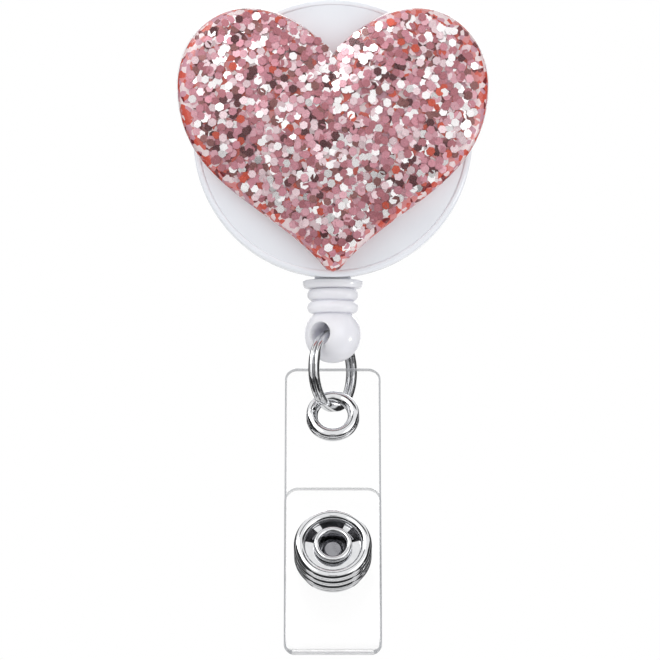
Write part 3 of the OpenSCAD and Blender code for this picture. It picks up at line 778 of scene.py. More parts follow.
def smoothing_tree() -> Tree:
    """Find or make the tree that shades faces smooth except across sharp edges.

    Returns:
        The tree.
    """
    found = bpy.data.node_groups.get("smooth_faces")
    if found is not None:
        return found
    graph = geometry_graph("smooth_faces", {})
    start = graph.out("NodeGroupInput")
    angle = graph.out("GeometryNodeInputMeshEdgeAngle")
    sharp = graph.out("FunctionNodeCompare", {0: angle, 1: math.radians(SHARP)}, operation="GREATER_THAN")
    smooth = "GeometryNodeSetShadeSmooth"
    soft = graph.out(smooth, {"Geometry": start, "Shade Smooth": True}, domain="FACE")
    done = graph.out(smooth, {"Geometry": soft, "Selection": sharp, "Shade Smooth": False}, domain="EDGE")
    graph.add("NodeGroupOutput", {"Geometry": done})
    return graph.tree


def smooth_node(name: str, slot: Slot, bevel_mm: float = 0.0) -> None:
    """Paint a node of the frame and smooth its round faces without touching its mesh.

    Args:
        name: The node's name.
        slot: The slot whose finish it gets.
        bevel_mm: Rounding of its edges in millimetres.
    """
    node = frame["nodes"][name]
    paint(node, FINISHES[slot])
    node.modifiers.new("weld", "WELD").merge_threshold = WELD_M
    if bevel_mm:
        bevel = node.modifiers.new("edges", "BEVEL")
        bevel.width = bevel_mm * MM
        bevel.segments = 2
        bevel.limit_method = "ANGLE"
        bevel.angle_limit = math.radians(BEVEL_SHARP)
    node.modifiers.new("shade", "NODES").node_group = smoothing_tree()
    LOG.info("%s keeps its solid", name)


@dataclass
class Places:
    """Where the reel, the cord and the strap sit, in millimetres, worked out from the frame."""

    strap_lean: float = 24.0
    vinyl_t: float = 0.5

    def __post_init__(self) -> None:
        """Read the joints' places."""
        self.axis = joint_place("spool_spin")
        self.bend = joint_place("flap_open")
        self.pin = joint_place("clip_open")
        lift = turn(90, "X")
        self.reel = Matrix.Translation((0, 0, self.axis.z)) @ lift
        self.cord = Matrix.Translation((0, self.axis.y, self.axis.z))
        hung = Matrix.Translation(joint_place("strap_swing")) @ turn(-self.strap_lean, "X")
        self.strap = hung @ Matrix.Translation((0, self.vinyl_t / 2, 0)) @ lift
        self.ball_z = joint_place("ring_swing").z - self.axis.z

    def on_strap(self, up: float, out: float = 0.0) -> Matrix:
        """Return the place of an axis that stands out of the strap, by its height along it and out of it."""
        return self.strap @ Matrix.Translation((0, up, out))

    def on_cord(self, up: float) -> Matrix:
        """Return a place on the cord's line, by its height above the reel's axis."""
        return self.cord @ Matrix.Translation((0, 0, up))


@dataclass
class SubAssembly:
    """Pieces that are built together, with their sizes in millimetres."""

    places: Places

    def build(self) -> None:
        """Make the pieces and dress them."""
        raise NotImplementedError


@dataclass
class ReelCase(SubAssembly):
    """The white case, and the rivet and washer behind it."""

    radius: float = 16.0
    front: float = 11.4
    front_depth: float = 2.6
    wall: float = 1.3
    edge_round: float = 0.62
    rim_chamfer: float = 0.15
    groove_w: float = 0.2
    groove_inset: float = 0.1
    turns: int = 160

    def build(self) -> None:
        """Make the front cover and dress the rest of the case."""
        front, r, chamfer = self.front, self.edge_round, self.rim_chamfer
        part_line, inner = front - self.front_depth, self.radius - self.wall
        groove, wide = self.radius - r - self.groove_inset, self.groove_w / 2
        profile = [(0, front - self.wall), (inner, front - self.wall), (inner, part_line),
                   (self.radius - chamfer, part_line), (self.radius, part_line + chamfer)]
        profile += arc((self.radius - r, front - r), (r, r), 0, 90, 10)
        profile += [(groove + wide, front), (groove, front - wide), (groove - wide, front), (0, front)]
        cover = turned("case_front", profile, self.places.reel, self.turns, ROUNDED_SHARP)
        dress(cover, Body.REEL, Slot.WHITE, "front_cover")
        smooth_node("rear_cover", Slot.WHITE)
        smooth_node("swivel_rivet", Slot.CHROME)
        smooth_node("swivel_washer", Slot.CHROME)


@dataclass
class GlitterHeart(SubAssembly):
    """The heart: its coral blank, its bed of glitter flakes and the clear dome over them."""

    width: float = 35.7
    height: float = 30.4
    notch: float = 5.4
    top: float = 14.7
    middle: float = 13.0
    lobe_x: float = 9.7
    wide_z: float = 8.95
    tip: Flat = (0.7, 0.2)
    notch_handle: Flat = (1.8, 2.6)
    lobe_handles: Flat = (3.7, 4.9)
    side_handles: Flat = (4.7, 11.6)
    tip_handle: Flat = (6.2, 7.7)
    steps: int = 22
    plane: float = 11.9
    blank_t: float = 1.0
    blank_inset: float = 0.3
    blank_soft: float = 0.12
    side: float = 0.8
    edge_round: float = 1.2
    crown: float = 1.2
    crown_end: float = 0.04
    crown_steps: int = 8
    bed_inset: float = 0.1
    bed_drop: float = 0.55
    bare_band: float = 0.3
    bare_rings: int = 8
    flake_d: float = 1.02
    flake_t: float = 0.03
    flakes_per_mm2: float = 2.6
    flake_lift: float = 0.4
    flake_tilt: float = 0.13
    flake_stretch: Flat = (0.86, 1.1)
    drift_scale: float = 170.0
    drift_share: float = 0.6
    tone_spread: Flat = (-0.3, 0.7)
    seed: int = 11

    def outline(self) -> list[Flat]:
        """Draw the heart's outline about its middle, clockwise from the notch.

        Returns:
            The points in order.
        """
        half = self.width / 2
        notch, lobe, wide = (0.0, -self.notch), (self.lobe_x, 0.0), (half, -self.wide_z)
        tip = (self.tip[0], self.tip[1] - self.height)
        off_notch = (self.notch_handle[0], self.notch_handle[1] - self.notch)
        off_tip = (tip[0] + self.tip_handle[0], tip[1] + self.tip_handle[1])
        to_lobe, from_lobe = (lobe[0] - self.lobe_handles[0], 0.0), (lobe[0] + self.lobe_handles[1], 0.0)
        to_side = (half, self.side_handles[0] - self.wide_z)
        from_side = (half, -self.wide_z - self.side_handles[1])
        right = bezier((notch, off_notch, to_lobe, lobe), self.steps)
        right += bezier((lobe, from_lobe, to_side, wide), self.steps)
        right += bezier((wide, from_side, off_tip, tip), self.steps)
        right += [tip, (0.0, -self.height)]
        left = [(-x, z) for x, z in reversed(right[1:-1])]
        return [(x, z + self.middle) for x, z in right + left]

    def dome(self, inset: float, drop: float) -> list[Flat]:
        """Work out the dome's rings.

        Args:
            inset: How far the dome stands inside the full outline.
            drop: How far its surface lies below the full dome's.

        Returns:
            Scales of the outline and heights above the blank, from the edge to the crown.
        """
        half, r = self.width / 2, self.edge_round
        base, side = 1 - inset / half, self.side - drop
        flat = base - r / half
        shares = [1 - i / self.crown_steps for i in range(1, self.crown_steps)] + [self.crown_end]
        rings = [(base, 0.0)]
        rings += [(base - (r - x) / half, side + y) for x, y in arc((0, 0), (r, r), 0, 90, 8)]
        return rings + [(flat * s, side + r + self.crown * (1 - s * s)) for s in shares]

    def stack(self, name: str, place: Matrix, rings: Sequence[Flat], crease: float = DOME_SHARP,
              closed: bool = True) -> Piece:
        """Make a heart from rings of its outline.

        Args:
            name: The piece's name.
            place: Where the heart's middle is.
            rings: Scales of the outline and heights.
            crease: Angle in degrees above which an edge stays sharp.
            closed: Whether it has a back.

        Returns:
            The piece.
        """
        outline = self.outline()
        m, n = len(outline), len(rings)
        points = [(s * x, s * z, h) for s, h in rings for x, z in outline]
        faces = skin(n, m) + [list(range((n - 1) * m, n * m))]
        if closed:
            faces.append(list(reversed(range(m))))
        return make_piece(name, (points, faces), place, crease)

    def flake_tree(self) -> Tree:
        """Make the tree that scatters flakes over a bed.

        Returns:
            The tree.
        """
        graph = geometry_graph("glitter_flakes", {
            "Density": "Float", "Flake Radius": "Float", "Flake Thickness": "Float", "Lift": "Float",
            "Tilt": "Float", "Seed": "Int", "Material": "Material"})
        given = graph.add("NodeGroupInput").outputs
        spread = graph.add("GeometryNodeDistributePointsOnFaces", {
            "Mesh": given["Geometry"], "Density": given["Density"], "Seed": given["Seed"]}).outputs
        tilt = given["Tilt"]
        back = graph.out("ShaderNodeMath", {0: tilt, 1: -1.0}, operation="MULTIPLY")
        turns = [graph.chance(back, tilt, 1), graph.chance(back, tilt, 2), graph.chance(0.0, math.tau, 3)]
        angles = graph.out("ShaderNodeCombineXYZ", dict(enumerate(turns)))
        lean = graph.out("FunctionNodeEulerToRotation", {0: angles})
        stand = graph.out("FunctionNodeRotateRotation", {
            0: spread["Rotation"], 1: lean}, rotation_space="LOCAL")
        raised = graph.out("ShaderNodeVectorMath", {
            0: spread["Normal"], "Scale": graph.chance(0.0, given["Lift"], 4)}, operation="SCALE")
        lifted = graph.out("GeometryNodeSetPosition", {"Geometry": spread["Points"], "Offset": raised})
        flake = graph.out("GeometryNodeMeshCylinder", {
            "Vertices": 6, "Radius": given["Flake Radius"], "Depth": given["Flake Thickness"]})
        size = graph.out("ShaderNodeCombineXYZ", {0: graph.chance(*self.flake_stretch, 5), 1: 1.0, 2: 1.0})
        strewn = graph.out("GeometryNodeInstanceOnPoints", {
            "Points": lifted, "Instance": flake, "Rotation": stand, "Scale": size})
        drift = graph.out("ShaderNodeTexNoise", {"Scale": self.drift_scale, "Detail": 1.0})
        tone = graph.out("ShaderNodeMath", {
            0: drift, 1: self.drift_share, 2: graph.chance(*self.tone_spread, 6)}, operation="MULTIPLY_ADD")
        told = graph.out("GeometryNodeStoreNamedAttribute", {
            "Geometry": strewn, "Name": "tone", "Value": tone}, data_type="FLOAT", domain="INSTANCE")
        real = graph.out("GeometryNodeRealizeInstances", {"Geometry": told})
        painted = graph.out("GeometryNodeSetMaterial", {"Geometry": real, "Material": given["Material"]})
        graph.add("NodeGroupOutput", {"Geometry": painted})
        return graph.tree

    def flakes(self, ground: Piece) -> Piece:
        """Strew flakes over a bed, which becomes the flakes.

        Args:
            ground: The open surface that the flakes lie on.

        Returns:
            The flakes as one piece.
        """
        tree = self.flake_tree()
        strew = ground.modifiers.new("strew", "NODES")
        strew.node_group = tree
        values = {
            "Density": self.flakes_per_mm2 / MM ** 2,
            "Flake Radius": self.flake_d / 2 * MM,
            "Flake Thickness": self.flake_t * MM,
            "Lift": self.flake_lift * MM,
            "Tilt": self.flake_tilt,
            "Seed": self.seed,
            "Material": FOIL.material(),
        }
        for item in tree.interface.items_tree:
            if item.in_out == "INPUT" and item.name in values:
                strew[item.identifier] = values[item.name]
        ground.update_tag()
        bpy.context.view_layer.update()
        settle(ground)
        ground.name = "glitter_flakes"
        return ground

    def build(self) -> None:
        """Make the blank, the bed, the flakes and the dome."""
        back = self.places.reel @ Matrix.Translation((0, self.top - self.middle, self.plane))
        face = back @ Matrix.Translation((0, 0, self.blank_t))
        half, soft = self.width / 2, self.blank_soft
        levels = [(soft, 0.0), (0.0, soft), (0.0, self.blank_t - soft), (soft, self.blank_t)]
        rings = [(1 - (self.blank_inset + inset) / half, h) for inset, h in levels]
        dress(self.stack("heart_blank", back, rings, ROUNDED_SHARP), Body.REEL, Slot.CORAL, "heart_back")
        bed = self.stack("glitter_bed", face, self.dome(self.bed_inset, self.bed_drop))
        dress(bed, Body.REEL, Slot.CORAL, finish=DEEP_GLITTER)
        rings = self.dome(self.bed_inset + self.bare_band, self.bed_drop)[self.bare_rings:]
        flakes = self.flakes(self.stack("flake_ground", face, rings, closed=False))
        dress(flakes, Body.REEL, Slot.GLITTER, finish=FOIL)
        shell = self.stack("heart_shell", face, self.dome(0.0, 0.0))
        dress(shell, Body.REEL, Slot.GLITTER, "heart_dome")
        smooth_node("glue_pad", Slot.GLUE)


@dataclass
class CordEnd(SubAssembly):
    """The cord, the ribbed fitting at its end and the split ring."""

    case_r: float = 16.0
    outlet_r: float = 15.5
    cord_d: float = 0.7
    cord_stop: float = 0.6
    cord_rings: int = 160
    cord_sides: int = 16
    collar_gap: float = 0.1
    collar_d: float = 7.0
    collar_h: float = 0.9
    collar_edge: float = 0.18
    lip: Flat = (0.46, 0.42)
    lip_turn: Flat = (-10.0, -80.0)
    lip_inset: float = 0.55
    rib_d: float = 5.9
    rib_h: float = 1.45
    rib_share: float = 0.47
    rib_turn: float = 84.0
    rib_count: int = 2
    groove_d: float = 4.7
    neck_d: float = 4.3
    ball_d: float = 6.5
    eye_d: float = 2.5
    eye_flare: float = 0.95
    eye_spare: float = 1.0
    flare_depth: float = 1.35
    eye_turn: float = 30.0
    bore_d: float = 0.9
    chamber_d: float = 2.1
    chamber_h: float = 3.0
    ring_d: float = 9.5
    ring_steps: int = 220
    wire_t: float = 0.8
    wire_w: float = 0.6
    wire_soft: float = 0.29
    turn_gap: float = 0.06
    cross_angle: float = 36.0
    cross_at: float = 62.0
    ring_drop: float = 4.118
    fitting_turns: int = 112
    fitting_sharp: float = 40.0

    def fitting_profile(self) -> list[Flat]:
        """Draw the fitting from its bore over its ribs to the ball.

        Returns:
            The closed profile.
        """
        top, ball_z = -self.case_r - self.collar_gap, self.places.ball_z
        collar_r, groove_r, bore_r = self.collar_d / 2, self.groove_d / 2, self.bore_d / 2
        edge, low = self.collar_edge, top - self.collar_h
        profile = [(bore_r, top), (collar_r - edge, top)]
        profile += arc((collar_r - edge, top - edge), (edge, edge), 90, 0, 4)
        profile += arc((collar_r - self.lip_inset, low + self.lip[1]), self.lip, *self.lip_turn, 6)
        rib = (self.rib_d / 2 - groove_r, self.rib_h * self.rib_share)
        for i in range(self.rib_count):
            profile += arc((groove_r, low - (i + 0.5) * self.rib_h), rib, self.rib_turn, -self.rib_turn, 14)
        radius, chamber_r = self.ball_d / 2, self.chamber_d / 2
        start = math.degrees(math.acos(self.neck_d / 2 / radius))
        profile += arc((0, ball_z), (radius, radius), start, -90, 40)
        roof = ball_z + self.chamber_h
        return profile + [(0, ball_z), (chamber_r, ball_z), (chamber_r, roof), (bore_r, roof)]

    def eye_cutter(self) -> Piece:
        """Make the shape of the cross hole, which widens at both mouths.

        Returns:
            The shape.
        """
        radius, eye_r = self.ball_d / 2, self.eye_d / 2
        inner, reach = radius - self.flare_depth, radius + self.eye_spare
        half = [(eye_r, inner)]
        half += arc((eye_r + self.eye_flare, inner), (self.eye_flare, reach - inner), 180, 90, 10)[1:]
        profile = [(0, -reach)] + [(r, -h) for r, h in reversed(half)] + half + [(0, reach)]
        place = self.places.on_cord(self.places.ball_z) @ turn(-self.eye_turn, "Z") @ turn(90, "X")
        return turned("eye_cutter", profile, place, CUTTER_ROUND)

    def ring(self) -> Piece:
        """Make the split ring of two turns with a crossing.

        Returns:
            The ring.
        """
        mean, soft = (self.ring_d - self.wire_t) / 2, self.wire_soft
        path = []
        for i in range(self.ring_steps + 1):
            angle = self.cross_angle / 2 + (720 - self.cross_angle) * i / self.ring_steps
            mixed = min(max((angle - 360) / self.cross_angle + 0.5, 0), 1)
            aside = (mixed * mixed * (3 - 2 * mixed) - 0.5) * (self.wire_w + self.turn_gap)
            a = math.radians(angle + self.cross_at)
            path.append(Vector((mean * math.cos(a), aside, mean * math.sin(a))))
        section = []
        for start, (x, y) in zip((0, 90, 180, 270), ((1, 1), (-1, 1), (-1, -1), (1, -1))):
            centre = (x * (self.wire_t / 2 - soft), y * (self.wire_w / 2 - soft))
            section += arc(centre, (soft, soft), start, start + 90, 4)
        place = self.places.on_cord(self.places.ball_z - self.ring_drop) @ turn(90 - self.eye_turn, "Z")
        return make_piece("split_ring_wire", tube(path, section, (0, 1, 0)), place, ROUNDED_SHARP)

    def cord(self, start: float, end: float) -> Piece:
        """Make the cord and map it along its length.

        Args:
            start: Height at which it starts.
            end: Height at which it ends.

        Returns:
            The cord.
        """
        steps = [i / self.cord_rings for i in range(self.cord_rings + 1)]
        path = [Vector((0, 0, start + (end - start) * step)) for step in steps]
        shell = tube(path, wire_section(self.cord_d, self.cord_sides), (1, 0, 0))
        line = make_piece("cord_line", shell, self.places.cord, ROUNDED_SHARP)
        uv = line.data.uv_layers.new(name="along")
        around = math.pi * self.cord_d * MM
        for loop in line.data.loops:
            p = line.data.vertices[loop.vertex_index].co
            across = math.atan2(p.y - self.places.axis.y * MM, p.x) / math.tau + 0.5
            uv.data[loop.index].uv = (across, p.z / around)
        return line

    def build(self) -> None:
        """Make the cord, the fitting and the ring."""
        start, end = -self.outlet_r, self.places.ball_z + self.chamber_h - self.cord_stop
        ends = [self.places.on_cord(up).translation for up in (start, end)]
        dress_between(self.cord(start, end), Body.REEL, Body.CORD, Slot.CORD, "cord_tail")
        profile = self.fitting_profile()
        fitting = turned("cord_fitting", profile, self.places.cord, self.fitting_turns, self.fitting_sharp)
        cut_with(fitting, self.eye_cutter(), self.fitting_sharp)
        dress(fitting, Body.FITTING, Slot.WHITE, "cord_end_fitting", finish=MILKY_PLASTIC)
        dress(self.ring(), Body.RING, Slot.CHROME, "split_ring")


@dataclass
class SheetRoute:
    """The middle of a vinyl sheet, as heights along the strap and out of it."""

    spots: list[Flat]
    end_share: float = 0.98
    mark_slack: float = 1e-9
    share_slack: float = 1e-6

    def __post_init__(self) -> None:
        """Add a spot just before the last one, and note the length along the route at each spot."""
        near = tuple(a + (b - a) * self.end_share for a, b in zip(*self.spots[-2:]))
        self.spots.insert(-1, near)
        self.marks = [0.0]
        for a, b in zip(self.spots, self.spots[1:]):
            self.marks.append(self.marks[-1] + math.dist(a, b))

    def at(self, d: float, out: float, x: float) -> Point:
        """Find a point of the sheet.

        Args:
            d: Length along the route.
            out: Distance to the left of the route.
            x: Distance across the strap.

        Returns:
            The point across, along and out of the strap.
        """
        spots, marks, slack = self.spots, self.marks, self.share_slack
        i = max(k for k in range(len(marks) - 1) if marks[k] <= d + self.mark_slack)
        share = (d - marks[i]) / (marks[i + 1] - marks[i])
        before = spots[i - 1] if i > 0 and share < slack else spots[i]
        after = spots[i + 2] if i + 2 < len(spots) and share > 1 - slack else spots[i + 1]
        step = (after[0] - before[0], after[1] - before[1])
        size = math.hypot(*step)
        spot = [a + (b - a) * share for a, b in zip(spots[i], spots[i + 1])]
        return (x, spot[0] + out * step[1] / size, spot[1] - out * step[0] / size)


@dataclass
class VinylStrap(SubAssembly):
    """The clear strap with its eyelet."""

    width: float = 11.0
    thick: float = 0.5
    top: float = 3.7
    end: float = -33.0
    leaf_gap: float = 1.5
    leaf_steps: int = 24
    flap_len: float = 20.3
    flap_steps: int = 40
    leaf_corner: float = 1.4
    flap_corner: float = 1.6
    fold_corner: float = 0.95
    # How far above the fold's lowest line the painted grey shade reaches.
    painted_fold_line: float = 0.03
    view_tilt: float = 28.5
    corner_gap: float = 0.02
    # Share of the rounded rim's depth that gets painted grey shade.
    painted_rim_share: float = 0.9
    rim_step: int = 15
    eyelet_up: float = -2.4
    eyelet_seat: float = 2.4
    eyelet_roll: float = 0.7
    eyelet_d: float = 6.1
    eyelet_wall: float = 0.02
    seat_gap: float = 0.05
    snap_up: float = 11.4
    post_hole: float = 1.2
    tube_hole: float = 3.7
    hole_depth: float = 1.2
    bend_reach: Flat = (-0.9, 1.3)

    def __post_init__(self) -> None:
        """Work out the fold's radius and centre."""
        self.fold_r = (self.leaf_gap + self.thick) / 2
        self.fold = (self.end + self.fold_r + self.thick / 2, self.fold_r + self.thick / 2)

    def above_fold(self, spot: Flat) -> float:
        """Return how far a spot of the sheet's middle shows above the fold's lowest line."""
        a = math.radians(self.view_tilt)
        return self.fold_r + (spot[0] - self.fold[0]) * math.cos(a) + (spot[1] - self.fold[1]) * math.sin(a)

    def route(self, top: float, out: float, steps: int, start: float) -> SheetRoute:
        """Return a leaf's route from its top to the fold's foot, with the angle at which the fold starts."""
        straight = [(top + (self.fold[0] - top) * i / steps, out) for i in range(steps)]
        return SheetRoute(straight + arc(self.fold, (self.fold_r, self.fold_r), start, 180, 8))

    def rim_line(self, route: SheetRoute, corner: float, inset: float) -> list[Flat]:
        """Draw half of a sheet's outline, moved inwards.

        Args:
            route: The middle of the sheet.
            corner: Radius of the corner where the sheet starts.
            inset: How far the line is moved inwards.

        Returns:
            Distances across the strap and lengths along the route.
        """
        half, r = self.width / 2, self.fold_corner
        line = [(0.0, inset)] + arc((half - corner, corner), (corner - inset, corner - inset), -90, 0, 10)
        for spot, mark in zip(route.spots, route.marks):
            if mark > corner + self.corner_gap:
                short = min(max(r - self.above_fold(spot), 0.0), r)
                line.append((half - inset - r + math.sqrt(r * r - short * short), mark))
        return line

    def sheet(self, name: str, route: SheetRoute, corner: float) -> Piece:
        """Make a sheet with a rounded rim, two rounded corners where it starts and a square end.

        Args:
            name: The piece's name.
            route: The middle of the sheet.
            corner: Radius of the two corners.

        Returns:
            The sheet, with a rim attribute of painted grey shade on its rounded rim and along the fold's
            lowest line.
        """
        rim = self.thick / 2
        insets = [rim * (1 - math.cos(math.radians(a))) for a in range(0, 91, self.rim_step)]
        lines = [self.rim_line(route, corner, inset) for inset in insets]
        k, n = len(insets), len(lines[0])
        points, faces, painted_rims = [], [], []
        for side, hand in ((1, 1), (1, -1), (-1, 1), (-1, -1)):
            for inset, line in zip(insets, lines):
                out = side * math.sqrt(rim * rim - (rim - inset) ** 2)
                row = [route.at(d, out, hand * x) for x, d in line]
                points += row
                # Painted shade: the rim's outer rows and the fold's lowest line, as seen at the camera's
                # tilt, are painted grey.
                edge = inset < rim * self.painted_rim_share
                painted_rims += [float(edge or self.above_fold(p[1:]) < self.painted_fold_line) for p in row[:-1]] + [0.0]
        rows = range(0, 4 * k * n, n)
        for a, b in ((rows[q + j], rows[q + j + 1]) for q in range(0, 4 * k, k) for j in range(k - 1)):
            faces += [[a + i, a + i + 1, b + i + 1, b + i] for i in range(n - 1)]
        ends = []
        for first in (0, 2 * k):
            right, left = rows[first + k - 1], rows[first + 2 * k - 1]
            faces.append([left + 1, right, right + 1, right + 2, left + 2])
            faces += [[left + i, right + i, right + i + 1, left + i + 1] for i in range(2, n - 1)]
            across = [*rows[first:first + k], *reversed(rows[first + k:first + 2 * k])]
            ends.append([row + n - 1 for row in across])
        faces.append(ends[0] + ends[1][-2:0:-1])
        return make_piece(name, (points, faces), self.places.strap, ROUNDED_SHARP, painted_rims)

    def hole(self, sheet: Piece, up: float, out: float, radius: float) -> None:
        """Cut a round hole through a sheet.

        Args:
            sheet: The sheet.
            up: Height of the hole along the strap.
            out: Height of the sheet's middle out of the strap.
            radius: The hole's radius.
        """
        deep = self.hole_depth
        profile = [(0, -deep), (radius, -deep), (radius, deep), (0, deep)]
        cutter = turned("hole_cutter", profile, self.places.on_strap(up, out), CUTTER_ROUND)
        cut_with(sheet, cutter, ROUNDED_SHARP)

    def build(self) -> None:
        """Make the long leaf, the flap and the eyelet."""
        mid, front, snap = self.thick / 2, self.leaf_gap + 1.5 * self.thick, self.end + self.snap_up
        leaf = self.sheet("strap_leaf", self.route(self.top, mid, self.leaf_steps, 270), self.leaf_corner)
        self.hole(leaf, self.eyelet_up, mid, self.eyelet_seat + self.seat_gap)
        self.hole(leaf, snap, mid, self.post_hole / 2)
        dress(leaf, Body.STRAP, Slot.VINYL, "strap_rear_leaf", "strap_fold")
        route = self.route(self.end + self.flap_len, front, self.flap_steps, 90)
        flap = self.sheet("strap_flap", route, self.flap_corner)
        self.hole(flap, snap, front, self.tube_hole / 2)
        dress_between(flap, Body.STRAP, Body.FLAP, Slot.VINYL, "strap_front_flap", FLAP_VINYL)
        self.eyelet()

    def eyelet(self) -> None:
        """Make the eyelet's rolled front and the washer behind it."""
        seat, roll, mid, outer = self.eyelet_seat, self.eyelet_roll, self.thick / 2, self.eyelet_d / 2
        deep, wall, gap = roll - mid, seat + self.eyelet_wall, seat + self.seat_gap
        front = arc((seat, mid), (roll, roll), 270, 90, 18)
        front += arc((seat, self.thick), (outer - seat, mid + roll - self.thick), 90, 0, 10)[1:]
        front += [(wall, self.thick), (wall, mid - roll)]
        back = arc((outer - deep / 2, -deep / 2), (deep / 2, deep / 2), -90, 90, 10)
        back = [(gap, -deep), *back, (gap, 0.0)]
        for name, profile, node in (("eyelet_ring", front, "strap_eyelet"),
                                    ("eyelet_back", back, "strap_eyelet_washer")):
            ring = turned(name, profile, self.places.on_strap(self.eyelet_up), ROUND, ROUNDED_SHARP)
            dress(ring, Body.STRAP, Slot.CHROME, node)


@dataclass
class PressStud(SubAssembly):
    """The press stud: its socket on the flap and its stud on the long leaf."""

    up: float = -21.6
    radius: float = 4.4
    leaf_t: float = 0.5
    flap_back: float = 2.0
    flap_front: float = 2.5
    bead: float = 0.6
    bead_turn: float = 86.0
    rim_bead: float = 0.65
    sheet: float = 0.3
    shade_share: float = 0.7
    gap: float = 0.05
    bore_r: float = 1.5
    mouth_roll: float = 0.35
    mouth_h: float = 0.9
    mouth_lap: float = 0.3
    mouth_start: float = -60.0
    web_ring: float = 0.3
    web_step: float = 6.0
    web_least: int = 4
    post_flange: float = 2.5
    windows: tuple[Flat, ...] = ((14.0, 48.0), (64.0, 118.0), (134.0, 168.0))
    wire_d: float = 0.35
    wire_span: float = 130.0
    stud_head_r: float = 1.25
    stud_neck_r: float = 0.95
    stud_fillet: float = 0.4
    stud_flange_r: float = 2.8
    stud_flat: float = 45.0
    post_r: float = 0.55
    post_lap: float = 0.1

    def __post_init__(self) -> None:
        """Work out the stud's axis, the socket's tube and hole, and the underside of its floor."""
        self.axis = self.places.on_strap(self.up)
        self.tube_r = self.bore_r + self.sheet
        self.inner = self.tube_r + self.gap
        self.floor = self.flap_front + 4 * self.bead

    def build(self) -> None:
        """Make the socket's three metal pieces, its spring wires and the stud."""
        self.base()
        self.rim()
        self.wires()
        self.mouth()
        self.stud()

    def base(self) -> None:
        """Make the two lower beads on the flap, with painted shade on their inside faces."""
        b, low, inner = self.bead, self.flap_front, self.inner
        edge = self.radius - b
        wall, floor = edge - self.sheet, low + self.sheet
        profile = [(inner, low)] + arc((edge, low + b), (b, b), -90, self.bead_turn, 16)
        profile += arc((edge, low + 3 * b), (b, b), -self.bead_turn, 90, 16)
        profile += [(wall, low + 4 * b), (wall, floor), (inner, floor)]
        beads = dress(turned("stud_beads", profile, self.axis), Body.FLAP, Slot.CHROME, "snap_socket_base")
        # Painted shade: faces inside the wall and above the floor get the darker plate.
        beads.data.materials.append(PAINTED_SHADE_PLATE.material())
        local = self.axis.inverted()
        for face in beads.data.polygons:
            spot = local @ (face.center / MM)
            in_painted_shade = math.hypot(spot.x, spot.y) < edge - self.sheet * self.shade_share
            face.material_index = int(in_painted_shade and spot.z > low + self.sheet / 2)

    def rim(self) -> None:
        """Make the rolled rim with the windows in its floor."""
        b, inner, low, high = self.rim_bead, self.inner, self.floor, self.floor + self.sheet
        shells = [lathe(arc((self.radius - b, low + b), (b, b), 0, 350, 35))]
        web, ring = ([(inner, low), (reach, low), (reach, high), (inner, high)]
                     for reach in (self.radius - b, inner + self.web_ring))
        starts = [end for _, end in self.windows]
        ends = [start for start, _ in self.windows[1:]] + [self.windows[0][0] + 360]
        for start, end in zip(starts, ends):
            turns = max(self.web_least, round((end - start) / self.web_step))
            shells.append(lathe(web, turns, start, end - start))
        shells.append(lathe(ring))
        dress(make_piece("stud_rim", join(shells), self.axis), Body.FLAP, Slot.CHROME, "snap_socket_rim")

    def wires(self) -> None:
        """Make the two spring wires just under the floor and its windows."""
        recess = self.radius - 2 * self.rim_bead
        reach = (recess + self.tube_r + self.mouth_roll - self.sheet / 2) / 2
        height = self.floor - self.gap - self.wire_d / 2
        shells = []
        for side in (90, 270):
            start = side - self.wire_span / 2
            bow = arc((0, 0), (reach, reach), start, start + self.wire_span, 40)
            path = [Vector((x, y, height)) for x, y in bow]
            shells.append(tube(path, wire_section(self.wire_d), (0, 0, 1)))
        wires = make_piece("stud_wires", join(shells), self.axis, DOME_SHARP)
        # Painted shade: the wires get the darker plate so that the windows look dark.
        dress(wires, Body.FLAP, Slot.SPRING, "snap_socket_spring", finish=PAINTED_SHADE_PLATE)

    def mouth(self) -> None:
        """Make the tube that holds the socket on the flap and rolls over at its mouth."""
        back, flange, roll = self.flap_back, self.bore_r + self.post_flange, self.mouth_roll
        top = self.floor + self.mouth_h
        profile = [(self.bore_r, back - self.sheet), (flange, back - self.sheet), (flange, back),
                   (self.tube_r, back), (self.tube_r, top - self.mouth_lap)]
        profile += arc((self.bore_r + roll, top), (roll, roll), self.mouth_start, 180, 18)
        dress(turned("stud_mouth", profile, self.axis), Body.FLAP, Slot.CHROME, "snap_socket_post")

    def stud(self) -> None:
        """Make the stud and the post whose head shows behind the strap."""
        leaf, t, cap, fillet = self.leaf_t, self.sheet, 2 * self.sheet, self.stud_fillet
        flange, ball, lap = self.stud_flange_r, self.stud_head_r, self.post_lap
        head, gap = self.flap_front + ball, self.post_r + self.gap
        start = -math.degrees(math.acos(self.stud_neck_r / ball))
        profile = [(gap, leaf), (flange - t / 2, leaf)]
        profile += arc((flange - t / 2, leaf + t / 2), (t / 2, t / 2), -90, 90, 8)
        profile += arc((self.stud_neck_r + fillet, leaf + t + fillet), (fillet, fillet), 270, 180, 6)
        profile += arc((0, head), (ball, ball), start, self.stud_flat, 20)
        profile += [(0, head + ball * math.sin(math.radians(self.stud_flat))), (0, head), (gap, head)]
        stud = turned("stud_ball", profile, self.axis)
